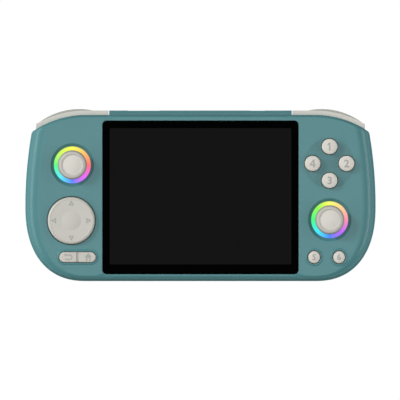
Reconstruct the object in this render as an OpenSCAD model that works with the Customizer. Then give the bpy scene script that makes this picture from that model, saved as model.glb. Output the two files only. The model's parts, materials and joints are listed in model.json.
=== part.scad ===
// Handheld game console lying on its back, in millimetres.
// +Z leaves the screen, +Y points at the shoulder buttons, +X is the player's right hand.
// The two rear grips stand on z = 0, and the origin lies below the middle of the case.

/* [Case] */
// Width across the case
case_w = 184; // [180:1:190]
// Top edge of the front shell above the middle line
case_top = 42.1; // [41.5:0.1:43.5]
// Bottom edge of the case below the middle line
case_bottom = 45.2; // [44.5:0.1:47]
// Distance from the side to where the top edge turns into the shoulder arc
shoulder_in = 32; // [30:0.5:34]
// Radius of the shoulder arc
shoulder_r = 50; // [48:1:54]
// Radius of the nearly straight side
side_r = 224; // [180:2:300]
// Height of the widest point of the case
waist_y = -5.5; // [-8:0.5:-3]
// Exponent of the rounded lower corners
corner_power = 2.35; // [2:0.05:2.8]
// Fillet between the shoulder arc and the side
corner_fillet = 2.6; // [1.5:0.1:4]
// Depth of the front shell, from parting plane to face
front_t = 7; // [6.6:0.1:8]
// Depth of the rear shell, from parting plane to back plate
plate_t = 9; // [8.6:0.1:10]
// Depth of the grips beyond the back plate
grip_t = 8; // [5:0.5:10]
// Width of the rolled edge of the face at the sides
roll_side = 7.75; // [5:0.25:9]
// Width of the rolled edge of the face along the top
roll_top = 0.8; // [0.4:0.1:1.6]
// Width of the rolled edge of the face along the bottom
roll_bottom = 3.2; // [2:0.2:4]
// Wall of both shells
wall = 2; // [1.8:0.1:2.2]

/* [Screen] */
// Width of the control bay on each side of the cover glass
bay_w = 40.6; // [39.5:0.1:41.5]
// Height of the cover glass
glass_h = 80.4; // [79.6:0.2:81]
// Centre of the cover glass
glass_y = -1.25; // [-1.6:0.05:-0.9]
// Thickness of the cover glass
glass_t = 1; // [0.8:0.1:1.2]
// Corner radius of the cover glass
glass_corner = 2.3; // [1.5:0.1:4]
// Border of the cover glass round the display panel
lcd_border = 2; // [1.8:0.1:2.6]
// Thickness of the display panel
lcd_t = 2.5; // [2:0.1:2.8]
// Thickness of the adhesive seal under the glass
seal_t = 0.3; // [0.2:0.05:0.4]

/* [Sticks] */
// Left stick, across from the middle of its bay
left_stick_dx = 0.39; // [-0.5:0.01:1]
// Left stick, up
left_stick_y = 15.8; // [15:0.1:17]
// Right stick, across from the middle of its bay
right_stick_dx = 0.16; // [-0.5:0.01:1]
// Right stick, up
right_stick_y = -13; // [-13.6:0.1:-12.4]
// Radius of a stick cap
stick_r = 7.75; // [7:0.05:7.8]
// Height of a stick's underside above the face
stick_rise = 2; // [1.8:0.1:3]
// Thickness of a stick cap
stick_t = 3.2; // [2.6:0.1:4]
// Radius of the dust dome below the cap
dome_r = 6.2; // [6:0.05:6.3]
// Radius of the lit ring that shows round a stick
ring_r = 9.8; // [9.4:0.1:10.2]
// Radius of the stick well at the face
well_r = 11.3; // [11:0.1:11.8]
// Thickness of the light ring
ring_t = 1.2; // [1:0.1:1.3]
// Half width of the stick base
stick_base_half = 8.5; // [8.3:0.1:8.8]

/* [Controls] */
// Middle of the four face buttons, across from the middle of their bay
face_dx = 0.11; // [-0.5:0.01:1]
// Middle of the four face buttons, up
face_y = 16.55; // [16:0.05:17]
// Distance of each face button from that middle
face_pitch = 8.9; // [8.6:0.1:9.2]
// Radius of a face button
face_r = 4.15; // [3.8:0.05:4.3]
// Height of the face buttons above the face
face_rise = 2.7; // [2:0.1:3]
// Direction pad, across from the middle of its bay
dpad_dx = -0.16; // [-1:0.01:0.5]
// Direction pad, up
dpad_y = -13.4; // [-14:0.1:-12.8]
// Radius of the direction pad
dpad_r = 12.6; // [12:0.1:13]
// Back and home rocker, across from the middle of its bay
rocker_dx = 3.14; // [2:0.02:4]
// Row of the small buttons, up
small_y = -32.6; // [-33:0.1:-32]
// Length of the back and home rocker
rocker_w = 19.2; // [18:0.1:20]
// Width of the back and home rocker
rocker_h = 5.4; // [5:0.1:6]
// Select button, across from the middle of its bay
select_dx = -8.04; // [-9:0.02:-7]
// Start button, across from the middle of its bay
start_dx = 5.06; // [4:0.02:6]
// Radius of the select and start buttons
small_r = 3.35; // [3:0.05:3.6]
// Gap between a button and its hole
button_gap = 0.3; // [0.25:0.05:0.4]

/* [Shoulders] */
// Distance from the side to the end of the strip between the bumpers
strip_in = 44.05; // [43.8:0.05:45.5]
// How far the strip and the bumpers stand beyond the front shell
strip_out = 2.35; // [1.6:0.05:2.6]
// Thickness of a bumper behind its outer face
bumper_t = 4; // [3.6:0.1:4.2]
// Distance from the side to the outer end of a bumper
bumper_side = 5.6; // [5.4:0.1:7]
// Distance from the side to a trigger's hinge and highest point
trigger_side = 28.2; // [27:0.1:29]
// Reach of a trigger from there towards the screen
trigger_in = 13.8; // [12:0.1:14.5]
// Reach of a trigger from there towards the side
trigger_reach = 22.2; // [20:0.1:22.4]
// Radius of a trigger's outer face
trigger_r = 35; // [33:0.5:38]
// How far the trigger bulges beyond the strip
trigger_out = 0.8; // [0.4:0.1:1.2]
// Radius of a trigger's hinge pin
pin_r = 0.9; // [0.8:0.05:1]
// Radius of a bumper's hinge pin
bumper_pin_r = 1; // [0.8:0.05:1.1]

/* [Inside] */
// Thickness of the main board
board_t = 1.2; // [1:0.1:1.4]
// Height of the buttons' flanges and domes above the main board
button_room = 2.8; // [2.6:0.1:3]
// Length of the battery
battery_w = 72; // [60:1:80]
// Height of the battery
battery_h = 44; // [36:1:46]
// Thickness of the battery
battery_t = 5; // [4:0.1:5.2]
// Width of the memory card slot
card_w = 13.6; // [12:0.1:15]
// Depth of the memory card slot
card_l = 13; // [11:0.5:14]
// Height of the memory card slot
card_h = 2.1; // [1.8:0.1:2.4]
// Width of the heat spreader
spreader_w = 60; // [40:1:70]
// Height of the heat spreader
spreader_h = 12; // [8:0.5:13]
// Width of a speaker
speaker_w = 16; // [12:0.5:16]
// Thickness of a speaker
speaker_t = 3.1; // [2.6:0.1:3.2]
// Radius of the headphone socket
jack_r = 1.8; // [1.75:0.05:1.9]
// Radius of the case screws
screw_r = 1; // [0.8:0.05:1.1]

/* [Hidden] */
$fn = 64;

// A cut is carried this far past the face that it opens.
past = 0.5;
// Pieces that are clipped or slide against each other stand this far apart.
clear = 0.3;
// Radial play of a turning pin.
play = 0.05;

// Levels through the case, from the table up.
part_z = grip_t + plate_t;
face_z = part_z + front_t;
roof_z = face_z - wall;
floor_z = grip_t + wall;
step_z = floor_z + wall + 1;
board_z = part_z + 0.6;
button_z = board_z + button_room;
flange_z = roof_z - clear;
glass_z = face_z + 0.2;
seal_z = glass_z - glass_t - seal_t;
lcd_z = glass_z - glass_t - lcd_t;
half_w = case_w / 2;
strip_y = case_top + strip_out;
shoulder_x = half_w - shoulder_in;
strip_half = half_w - strip_in;
glass_w = case_w - 2 * bay_w;
lcd_w = glass_w - 2 * lcd_border;
lcd_h = glass_h - 2 * lcd_border;

// The controls stand in two columns, a little outside the middle of each bay.
column_x = half_w - bay_w * 0.6;
face_x = column_x + face_dx;
dpad_x = dpad_dx - column_x;
rocker_x = rocker_dx - column_x;
select_x = column_x + select_dx;
start_x = column_x + start_dx;

// The face has a shallow dish for the face buttons and low rims round the small keys.
dish_t = 0.3;
key_rim_t = 0.35;
key_rim_w = 1.1;

// Stick levels: the gimbal turns about stick_z.
sticks = [[left_stick_dx - column_x, left_stick_y], [column_x + right_stick_dx, right_stick_y]];
stick_z = part_z + 0.6;
ring_z = roof_z - ring_t;
light_board_t = 0.8;
base_top = ring_z - light_board_t;
base_floor = stick_z - 4.6;
cap_z = face_z + stick_rise;
shaft_r = 1.1;
collar_r = 2.2;
gimbal_r = 4.9;
gimbal_w = 1.1;
gimbal_h = 1.8;
trunnion_r = 0.6;
ring_seat_r = well_r + 0.2;

// Direction pad: the disc rocks on a ball at dpad_z, and its skirt reaches a little below.
dpad_z = board_z + 2.4;
dpad_skirt = 0.4;
dpad_flange_t = 1.2;
ball_r = 1.5;
membrane_t = 0.8;
rocker_rib = 0.8;

// Shoulder pockets: the bumper lies in front of a shelf, and the trigger lies behind it.
shelf_t = 0.8;
bumper_h = 4.4;
bumper_z = part_z - clear - bumper_h;
shelf_z = bumper_z - clear - shelf_t;
trigger_h = 6.2;
trigger_top = shelf_z - 0.6;
trigger_z = trigger_top - trigger_h;
trigger_wall = 1.6;
trigger_room_y = case_top - 8.9;
trigger_back_y = trigger_room_y + 1.1;
trigger_x = half_w - trigger_side;
inner_y = trigger_room_y - wall;
shoulder_c = [shoulder_x, case_top - shoulder_r];
bumper_r = shoulder_r + strip_out;
bumper_seat_r = bumper_r - bumper_t - 1.8;
bumper_in = strip_half + 0.4;
bumper_end = half_w - bumper_side;
bumper_pivot = [bumper_in + 3.1, case_top - 3.2];
trigger_c = [trigger_x, strip_y + trigger_out - trigger_r];
trigger_pivot = [trigger_room_y + 4.8, trigger_top - 1.2];
ear_t = 1.6;
ear_x = 9.4;
lug_x = 7;

// Switches: a bumper's switch lies at switch_turn round the shoulder arc, in a flat seat.
switch_w = 4;
switch_h = 3;
switch_t = 0.8;
switch_seat = 0.3;
switch_turn = 62;
trigger_switch_t = 1.2;
// Room for the trigger's lower wall, which rises under its switch when the trigger is pulled.
trigger_swing = 1.2;

// Where the case screws go on the right, and whether they clamp the main board; the left mirrors it.
screw_seat = floor_z + wall;
screw_spots = [[glass_w / 2 + 2.6, 0, true], [half_w - 12, -27, true],
               [strip_half / 4, case_top - 2.5, false]];
post_r = screw_r + 2.2;
screw_head_r = screw_r + 0.9;
screw_head_t = 1.2;
screw_tip = roof_z - 0.6;

// Ports along the bottom edge hang under the main board.
port_z = board_z - board_t;
usb_x = 0;
speaker_x = half_w - 46;
jack_x = speaker_x - 20;
card_x = -jack_x;
jack_l = card_l - 1;
jack_size = 2 * jack_r + 0.9;
jack_w = jack_size + 0.8;
usb_w = 9;
usb_h = 3.2;
usb_l = 9.4;
port_y = -case_bottom + wall + 1;

// Keys in the top strip: the volume rocker turns about a rib on its back.
power_x = strip_half - 17.95;
volume_x = -power_x;
top_key_z = part_z - 2.1;
top_key_h = 2.2;
top_key_y = strip_y - 0.15;
top_lip_y = strip_y - 2.9;
power_w = 7;
volume_w = 16;
power_travel = 0.5;
top_flange_t = 0.8;
rib_r = 0.6;
rib_y = top_lip_y - clear - top_flange_t / 2;
key_board_y = top_lip_y - 6.45;

function arc(c, r, a0, a1, n) =
    [for (i = [0:n]) let (a = a0 + (a1 - a0) * i / n) c + r * [cos(a), sin(a)]];

// The upper crossing of two circles.
function crossing(c1, r1, c2, r2) =
    let (d = norm(c2 - c1), u = (c2 - c1) / d, a = (r1 * r1 - r2 * r2 + d * d) / (2 * d))
    c1 + a * u + sqrt(r1 * r1 - a * a) * [u[1], -u[0]];

function tail(list) = [for (i = [1:len(list) - 1]) list[i]];

// Right half of the case outline, from the top middle round to the bottom middle.
// The insets are the distances inside the rim at the top, the sides and the bottom.
function half_outline(top, side, bottom) =
    let (
        side_c = [half_w - side_r, waist_y],
        fillet_c = crossing(shoulder_c, shoulder_r - top - corner_fillet,
                            side_c, side_r - side - corner_fillet),
        from_shoulder = fillet_c - shoulder_c,
        from_side = fillet_c - side_c,
        a1 = atan2(from_shoulder[1], from_shoulder[0]),
        a2 = atan2(from_side[1], from_side[0]),
        corner_w = half_w - shoulder_x - side,
        corner_h = case_bottom + waist_y - bottom,
        lines = [0, 1, 2] * shoulder_x / 3
    )
    concat(
        [for (x = lines) [x, case_top - top]],
        arc(shoulder_c, shoulder_r - top, 90, a1, 9),
        tail(arc(fillet_c, corner_fillet, a1, a2, 4)),
        tail(arc(side_c, side_r - side, a2, 0, 5)),
        [for (a = [6:6:90]) [shoulder_x + corner_w * pow(cos(a), 2 / corner_power),
                             waist_y - corner_h * pow(sin(a), 2 / corner_power)]],
        [for (i = [2:-1:0]) [lines[i], bottom - case_bottom]]
    );

function outline(top, side, bottom) =
    let (right = half_outline(top, side, bottom), n = len(right))
    concat(right, [for (i = [n - 2:-1:1]) [-right[i][0], right[i][1]]]);

function middle(points) = [for (p = points) 1] * points / len(points);

// A solid through rings of points, each ring running clockwise seen from above, the lowest first.
module loft(rings) {
    n = len(rings[0]);
    last = len(rings) - 1;
    low = (last + 1) * n;
    polyhedron(
        points = concat([for (ring = rings) each ring], [middle(rings[0]), middle(rings[last])]),
        faces = concat(
            [for (i = [0:n - 1]) [low, (i + 1) % n, i]],
            [for (i = [0:n - 1]) [low + 1, last * n + i, last * n + (i + 1) % n]],
            [for (k = [0:last - 1], i = [0:n - 1])
                [k * n + i, k * n + (i + 1) % n, (k + 1) * n + (i + 1) % n]],
            [for (k = [0:last - 1], i = [0:n - 1])
                [k * n + i, (k + 1) * n + (i + 1) % n, (k + 1) * n + i]]
        )
    );
}

module slab(points, z0, z1) {
    translate([0, 0, z0]) linear_extrude(z1 - z0) polygon(points);
}

module block(x0, x1, y0, y1, z0, z1) {
    translate([x0, y0, z0]) cube([x1 - x0, y1 - y0, z1 - z0]);
}

module rod_x(x0, x1, y, z, r) {
    translate([x0, y, z]) rotate([0, 90, 0]) cylinder(h = x1 - x0, r = r);
}

module rod_y(x, y0, y1, z, r) {
    translate([x, y1, z]) rotate([90, 0, 0]) cylinder(h = y1 - y0, r = r);
}

module rod_z(x, y, z0, z1, r) {
    translate([x, y, z0]) cylinder(h = z1 - z0, r = r);
}

module both_sides() {
    children();
    mirror([1, 0, 0]) children();
}

function rounded(w, h, r) =
    concat(arc([w / 2 - r, h / 2 - r], r, 90, 0, 6), arc([w / 2 - r, r - h / 2], r, 0, -90, 6),
           arc([r - w / 2, r - h / 2], r, -90, -180, 6), arc([r - w / 2, h / 2 - r], r, 180, 90, 6));

// A flat pill of length w and width h.
module pill(x, y, w, h, z0, z1) {
    translate([x, y, z0]) linear_extrude(z1 - z0) {
        square([w - h, h], center = true);
        for (s = [-1, 1]) translate([s * (w - h) / 2, 0]) circle(h / 2);
    }
}

// Rear shell: spokes run from the middle line of the back to the rim, and the depth follows the grips.
function smooth(t) = let (u = min(1, max(0, t))) u * u * (3 - 2 * u);
spine = shoulder_x * 2 / 3;
grip_in = spine + 8;
grip_flat = shoulder_x + 2;
function grip_share(p) =
    smooth((abs(p[0]) - grip_in) / (grip_flat - grip_in))
    * (1 - (p[1] > 0 ? smooth((p[1] - 24) / 22) : smooth((-p[1] - 16) / 18)));
edge_start = 0.8;
function edge_share(r) = r < edge_start ? 1 : sqrt(1 - pow((r - edge_start) / (1 - edge_start), 2));
function rear_point(rim, r) =
    let (
        foot = [min(spine, max(-spine, rim[0])), 0],
        p = foot + r * (rim - foot)
    )
    [p[0], p[1], part_z - (plate_t + grip_t * grip_share(p)) * edge_share(r)];
spoke_steps = [0.15, 0.25, 0.33, 0.41, 0.49, 0.58, 0.68, 0.8, 0.86, 0.91, 0.95, 0.98, 1];

module front_form() {
    loft([for (a = [0:10:90]) let (t = 1 - cos(a))
        [for (p = outline(roll_top * t, roll_side * t, roll_bottom * t))
            [p[0], p[1], part_z + front_t * sin(a)]]]);
}

module rear_form() {
    rim = outline(0, 0, 0);
    loft([for (r = spoke_steps) [for (p = rim) rear_point(p, r)]]);
}

// Solid corners beside the shoulder pockets, which no cavity reaches.
module shoulder_corners() {
    both_sides() block(strip_half - wall, case_w, inner_y, case_w, 0, face_z);
}

module screw_columns(r, z0, z1) {
    both_sides() for (p = screw_spots) rod_z(p[0], p[1], z0, z1, r);
}

module key_rims() {
    pill(rocker_x, small_y, rocker_w + 2 * key_rim_w, rocker_h + 2 * key_rim_w,
         face_z - 1, face_z + key_rim_t);
    for (x = [select_x, start_x]) rod_z(x, small_y, face_z - 1, face_z + key_rim_t, small_r + key_rim_w);
}

module front_shell() {
    color("#5f898b") difference() {
        union() {
            front_form();
            key_rims();
        }
        difference() {
            slab(outline(wall + 0.2, wall + 2.4, wall + 1), part_z - past, roof_z);
            shoulder_corners();
            both_sides() for (p = screw_spots) rod_z(p[0], p[1], p[2] ? board_z : part_z, face_z, post_r);
        }
        screw_columns(screw_r + play, part_z - past, screw_tip + clear);
        translate([0, glass_y, 0]) {
            slab(rounded(glass_w + 0.3, glass_h + 0.3, glass_corner), seal_z, face_z + past);
            slab(rounded(lcd_w + 0.6, lcd_h + 0.6, 1), part_z, face_z);
        }
        for (s = sticks) translate([s[0], s[1], 0]) rotate_extrude() polygon([
            [0, roof_z - past], [ring_r, roof_z - past], [ring_r, roof_z + 0.5],
            [well_r, face_z], [well_r, face_z + past], [0, face_z + past]
        ]);
        for (a = [0:90:270]) rod_z(face_x + face_pitch * sin(a), face_y + face_pitch * cos(a),
                                   roof_z - past, face_z + past, face_r + button_gap);
        rod_z(face_x, face_y, face_z - dish_t, face_z + past, face_pitch + face_r);
        rod_z(dpad_x, dpad_y, roof_z - past, face_z + past, dpad_r + button_gap + 0.1);
        pill(rocker_x, small_y, rocker_w + 2 * button_gap, rocker_h + 2 * button_gap,
             roof_z - past, face_z + past);
        for (x = [select_x, start_x]) rod_z(x, small_y, roof_z - past, face_z + past, small_r + button_gap);
    }
}

module bumper_outline(grow, seat) {
    c = shoulder_c;
    far = bumper_end + grow;
    r0 = seat - grow;
    r1 = bumper_r + grow;
    a0 = acos((far - c[0]) / r0);
    a1 = acos((far - c[0]) / r1);
    near = bumper_in - grow;
    lug_y = bumper_pivot[1] - 2.4 - grow;
    lug_end = bumper_pivot[0] + 3.6 + grow;
    polygon(concat(
        [[near, c[1] + r1]], arc(c, r1, 90, a1, 10), arc(c, r0, a0, 90, 10),
        [[lug_end, c[1] + r0], [lug_end, lug_y], [near, lug_y]]
    ));
}

module bumper_switch(w, h, t) {
    translate([shoulder_c[0], shoulder_c[1], (bumper_z + part_z - h) / 2]) rotate(switch_turn)
        translate([bumper_seat_r - switch_seat, -w / 2, 0]) cube([t, w, h]);
}

module rear_shell() {
    color("#5e8486") {
        difference() {
            union() {
                rear_form();
                translate([-strip_half, case_top - 8, 0]) rotate([90, 0, 90])
                    linear_extrude(2 * strip_half) strip_profile();
                both_sides() translate([0, 0, shelf_z]) linear_extrude(shelf_t)
                    bumper_outline(-clear, bumper_seat_r);
            }
            difference() {
                union() {
                    slab(outline(wall + 1, wall + 1.4, wall + 1), step_z, part_z + past);
                    slab(outline(wall + 6, wall + 8, wall + 6), floor_z, part_z);
                }
                shoulder_corners();
                both_sides() for (p = screw_spots)
                    rod_z(p[0], p[1], 0, p[2] ? board_z - board_t : part_z, post_r);
            }
            screw_columns(screw_r + 0.2, 0, part_z + past);
            screw_columns(screw_head_r + clear, -past, screw_seat);
            both_sides() {
                translate([0, 0, shelf_z + shelf_t]) linear_extrude(front_t)
                    bumper_outline(0.4, bumper_seat_r + 0.4);
                rod_z(bumper_pivot[0], bumper_pivot[1], shelf_z - 0.1, part_z, bumper_pin_r + 0.02);
                block(trigger_x - trigger_in - 0.6, case_w, trigger_room_y, case_w, 0, shelf_z);
                bumper_switch(switch_w + clear, switch_h + clear, switch_t + past);
            }
            top_key_hole(power_x, power_w);
            top_key_hole(volume_x, volume_w);
            port_holes();
            speaker_slots();
        }
        both_sides() for (s = [-1, 1]) difference() {
            block(trigger_x + s * ear_x - ear_t / 2, trigger_x + s * ear_x + ear_t / 2,
                  trigger_room_y - 0.2, trigger_pivot[0] + 1.9, trigger_pivot[1] - 1.8, shelf_z + 0.1);
            rod_x(0, case_w, trigger_pivot[0], trigger_pivot[1], pin_r + 0.02);
        }
    }
}

// Cross-section of the top strip: across is the height of the console, up is its depth.
module strip_profile() {
    top = strip_y - case_top + 8;
    r = 1.6;
    polygon(concat(
        [[0, part_z], [0, floor_z + 0.5]],
        arc([top - 2.4 * r, floor_z + 0.5 + 2.4 * r], 2.4 * r, -90, 0, 6),
        arc([top - r, part_z - r], r, 0, 90, 4)
    ));
}

module top_key_hole(x, w) {
    block(x - w / 2 - clear, x + w / 2 + clear, top_lip_y - past, strip_y + past,
          top_key_z - top_key_h / 2 - clear, top_key_z + top_key_h / 2 + clear);
    block(x - w / 2 - 1.4, x + w / 2 + 1.4, case_top - wall - 2, top_lip_y,
          step_z, part_z + past);
}

module port_holes() {
    y0 = -case_bottom - past;
    translate([usb_x, port_y + past, port_z - usb_h / 2]) rotate([90, 0, 0])
        linear_extrude(port_y + past - y0) polygon(rounded(usb_w + 2 * clear, usb_h + 2 * clear, usb_h / 2));
    rod_y(jack_x, y0, port_y + past, port_z - jack_size / 2, jack_r + 0.8);
    block(jack_x - jack_w / 2 - clear, jack_x + jack_w / 2 + clear, port_y - 0.1, port_y + wall + 5,
          port_z - jack_size - clear, port_z);
    block(card_x - card_w / 2 + 0.6, card_x + card_w / 2 - 0.6, y0, port_y + past,
          port_z - card_h + 0.2, port_z - 0.5);
}

module speaker_slots() {
    pitch = speaker_w / 6;
    slot_w = 1;
    both_sides() for (i = [-2:2])
        block(speaker_x + pitch * i - slot_w / 2, speaker_x + pitch * i + slot_w / 2,
              -case_bottom - past, port_y + past, step_z + 0.5, step_z + speaker_t - 0.6);
}

module cover_glass() {
    color("#0b0c0d") translate([0, glass_y, 0])
        slab(rounded(glass_w, glass_h, glass_corner), glass_z - glass_t, glass_z);
}

module glass_seal() {
    color("#202224") translate([0, glass_y, 0]) difference() {
        slab(rounded(glass_w, glass_h, glass_corner), seal_z, seal_z + seal_t);
        slab(rounded(lcd_w + 0.6, lcd_h + 0.6, 1), seal_z - past, seal_z + seal_t + past);
    }
}

module display_panel() {
    color("#141414") translate([0, glass_y, 0]) slab(rounded(lcd_w, lcd_h, 0.6), lcd_z, lcd_z + lcd_t);
}

// Turned profile of a stick: a grooved cap on a stem, with the dust dome below it.
module stick_cap() {
    lip = 0.5;
    under = 0.75;
    groove_r = stick_r * 0.68;
    roll = stick_r - groove_r - 0.35;
    roll_t = stick_t - 0.2 - under - lip;
    crown_r = stick_r * 3.25;
    dome_t = 1;
    stem_r = 3.2;
    dome_edge = 64;
    color("#d2d0c9") difference() {
        union() {
            translate([0, 0, cap_z]) rotate_extrude() difference() {
                polygon(concat(
                    [[0, 0], [stem_r + 0.8, 0]],
                    arc([stick_r - lip, under + lip], lip, -90, 0, 4),
                    [for (a = [15:15:90]) [stick_r - roll * (1 - cos(a)), under + lip + roll_t * sin(a)]],
                    [[groove_r, stick_t - 0.55], [groove_r - 0.4, stick_t - 0.3]],
                    arc([0, stick_t - crown_r], crown_r, 90 - asin((groove_r - 0.8) / crown_r), 90, 5)
                ));
                square([screw_r + 0.1 + play, stick_t / 2]);
            }
            translate([0, 0, stick_z]) rotate_extrude()
                polygon(concat(arc([0, 0], dome_r, 90 - dome_edge, 90, 12),
                               arc([0, 0], dome_r - dome_t, 90, 90 - dome_edge, 12)));
            rod_z(0, 0, stick_z + dome_r - dome_t / 2, cap_z + past, stem_r);
        }
        rod_z(0, 0, stick_z, cap_z + stick_t / 2, shaft_r);
    }
}

module stick_shaft() {
    color("#8d9296") {
        rod_z(0, 0, base_floor + 1.9, cap_z + stick_t / 2, shaft_r);
    }
}

module stick_collar() {
    color("#2d3033") difference() {
        union() {
            rod_z(0, 0, stick_z - 1.2, stick_z + 1.2, collar_r);
            rod_y(0, -gimbal_r + 0.1, gimbal_r - 0.1, stick_z, trunnion_r);
        }
        rod_z(0, 0, 0, face_z, shaft_r + play);
    }
}

module stick_ring() {
    color("#3b3f43") difference() {
        union() {
            rod_z(0, 0, stick_z - gimbal_h / 2, stick_z + gimbal_h / 2, gimbal_r);
            rod_x(-stick_base_half + clear, stick_base_half - clear, 0, stick_z, trunnion_r);
        }
        rod_z(0, 0, 0, face_z, gimbal_r - gimbal_w);
        rod_y(0, -stick_base_half, stick_base_half, stick_z, trunnion_r + play);
    }
}

module stick_base() {
    inside = stick_base_half - 1.5;
    rim = stick_base_half + 1;
    color("#25282b") difference() {
        union() {
            block(-stick_base_half, stick_base_half, -stick_base_half, stick_base_half, base_floor, base_top);
            block(-rim, rim, -rim, rim, board_z, board_z + 0.8);
        }
        block(-inside, inside, -inside, inside, base_floor + 1, base_top + past);
        rod_x(-rim - past, rim + past, 0, stick_z, trunnion_r + play);
    }
}

module light_ring() {
    color("#f1efe9") difference() {
        rod_z(0, 0, ring_z, roof_z, ring_seat_r);
        rod_z(0, 0, ring_z - past, roof_z + past, dome_r + 0.4);
    }
}

module light_board() {
    color("#1f3b2c") difference() {
        rod_z(0, 0, base_top, ring_z, ring_seat_r);
        rod_z(0, 0, base_top - past, ring_z + past, dome_r + 0.8);
    }
}

module at_left_stick() {
    translate([sticks[0][0], sticks[0][1], 0]) children();
}

module at_right_stick() {
    translate([sticks[1][0], sticks[1][1], 0]) children();
}

// A push button: flange under the shell, cap through it, with a domed top.
module push_button(r, top, flange) {
    crown = 0.5;
    edge = 0.5;
    crown_r = ((r - edge) * (r - edge) + crown * crown) / (2 * crown);
    rod_z(0, 0, button_z, flange_z, flange);
    translate([0, 0, flange_z - 0.2]) rotate_extrude() polygon(concat(
        [[0, 0], [r, 0]],
        arc([r - edge, top - crown - edge - flange_z + 0.2], edge, 0, 90, 4),
        tail(arc([0, top - crown_r - flange_z + 0.2], crown_r, 90 - asin((r - edge) / crown_r), 90, 6))
    ));
}

module face_button(a) {
    color("#d2d0c9") translate([face_x + face_pitch * sin(a), face_y + face_pitch * cos(a), 0])
        push_button(face_r, face_z + face_rise, face_r + 0.85);
}

module face_button_top() { face_button(0); }
module face_button_right() { face_button(90); }
module face_button_bottom() { face_button(180); }
module face_button_left() { face_button(270); }

module face_membrane() {
    color("#9aa0a2") {
        rod_z(face_x, face_y, board_z, board_z + membrane_t, face_pitch + face_r);
        for (a = [0:90:270]) translate([face_x + face_pitch * sin(a), face_y + face_pitch * cos(a), board_z])
            cylinder(h = button_room, r = face_r - 1);
    }
}

// Direction pad: a slightly dished disc with a rolled edge, a low dome and a socket for its pivot ball.
module direction_pad() {
    top = face_z + 2.1 - dpad_z;
    edge = 1.3;
    dome = dpad_r * 3 / 7;
    pad_crown_r = dpad_r * 2.25;
    dish = 0.37;
    color("#d0cec7") translate([dpad_x, dpad_y, dpad_z]) difference() {
        union() {
            rotate_extrude() polygon(concat(
                [[0, -dpad_skirt], [dpad_r, -dpad_skirt]],
                arc([dpad_r - edge, top - edge], edge, 0, 90, 5),
                [[dpad_r - edge - 0.1, top - 0.12], [dome + 0.6, top - dish]],
                tail(arc([0, top - dish - pad_crown_r + 0.35], pad_crown_r,
                         90 - asin(dome / pad_crown_r), 90, 5))
            ));
            translate([0, 0, -dpad_skirt]) cylinder(h = dpad_flange_t, r = dpad_r + 1.4);
        }
        sphere(ball_r + play);
        translate([0, 0, -5]) cylinder(h = 5, r = ball_r + play);
    }
}

module direction_pivot() {
    color("#e4e2dc") translate([dpad_x, dpad_y, dpad_z]) sphere(ball_r);
}

module direction_post() {
    color("#34383b") translate([dpad_x, dpad_y, 0]) difference() {
        rod_z(0, 0, board_z, dpad_z - 0.6, ball_r - 0.25);
        translate([0, 0, dpad_z]) sphere(ball_r + play);
    }
}

module direction_membrane() {
    contact = dpad_r - 4;
    color("#9aa0a2") difference() {
        union() {
            rod_z(dpad_x, dpad_y, board_z, board_z + membrane_t, dpad_r);
            for (a = [0:90:270]) translate([dpad_x + contact * sin(a), dpad_y + contact * cos(a), board_z])
                cylinder(h = dpad_z - dpad_skirt - board_z, r = dpad_r / 5);
        }
        rod_z(dpad_x, dpad_y, 0, face_z, ball_r + 1);
    }
}

module back_home_rocker() {
    groove_w = 1.4;
    color("#d2d0c9") difference() {
        union() {
            pill(rocker_x, small_y, rocker_w, rocker_h, button_z, face_z + 1);
            pill(rocker_x, small_y, rocker_w + 2, rocker_h + 2, button_z, flange_z - 0.5);
            rod_y(rocker_x, small_y - rocker_h / 2, small_y + rocker_h / 2, button_z, rocker_rib);
        }
        block(rocker_x - groove_w / 2, rocker_x + groove_w / 2, small_y - rocker_h, small_y + rocker_h,
              face_z + 0.4, face_z + 2);
    }
}

module back_home_membrane() {
    color("#9aa0a2") {
        pill(rocker_x, small_y, rocker_w + 1, rocker_h + 1, board_z, board_z + membrane_t);
        rod_z(rocker_x, small_y, board_z, button_z - rocker_rib, 1);
        for (s = [-1, 1]) rod_z(rocker_x + s * rocker_w / 3, small_y, board_z, button_z, rocker_h / 2 - 0.5);
    }
}

module small_button(x) {
    color("#d2d0c9") translate([x, small_y, 0]) push_button(small_r, face_z + 0.9, small_r + 0.85);
}

module select_button() { small_button(select_x); }
module start_button() { small_button(start_x); }

module select_start_membrane() {
    color("#9aa0a2") {
        pill((select_x + start_x) / 2, small_y, start_x - select_x + 2 * small_r, 2 * small_r,
             board_z, board_z + membrane_t);
        for (x = [select_x, start_x]) rod_z(x, small_y, board_z, button_z, small_r - 0.9);
    }
}

module bumper() {
    color("#c4c1ba") difference() {
        translate([0, 0, bumper_z]) linear_extrude(bumper_h) bumper_outline(0, bumper_r - bumper_t);
        rod_z(bumper_pivot[0], bumper_pivot[1], 0, face_z, bumper_pin_r + play);
    }
}

module left_bumper() { mirror([1, 0, 0]) bumper(); }
module right_bumper() { bumper(); }

module bumper_pins() {
    color("#b9bcbe") both_sides() rod_z(bumper_pivot[0], bumper_pivot[1], shelf_z, part_z, bumper_pin_r);
}

// The trigger's curved face is turned about trigger_c, with a rounded rear edge.
module trigger_form(inset) {
    r = trigger_r - inset;
    edge = 2.4 - inset;
    intersection() {
        translate([trigger_c[0], trigger_c[1], trigger_z + inset]) rotate_extrude() polygon(concat(
            [[0, 0]], arc([r - edge, edge], edge, -90, 0, 6), [[r, trigger_h], [0, trigger_h]]));
        block(trigger_x - trigger_in + inset, trigger_x + trigger_reach - inset,
              trigger_back_y - (inset > 0 ? past : 0), case_w, 0, face_z);
    }
}

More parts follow.
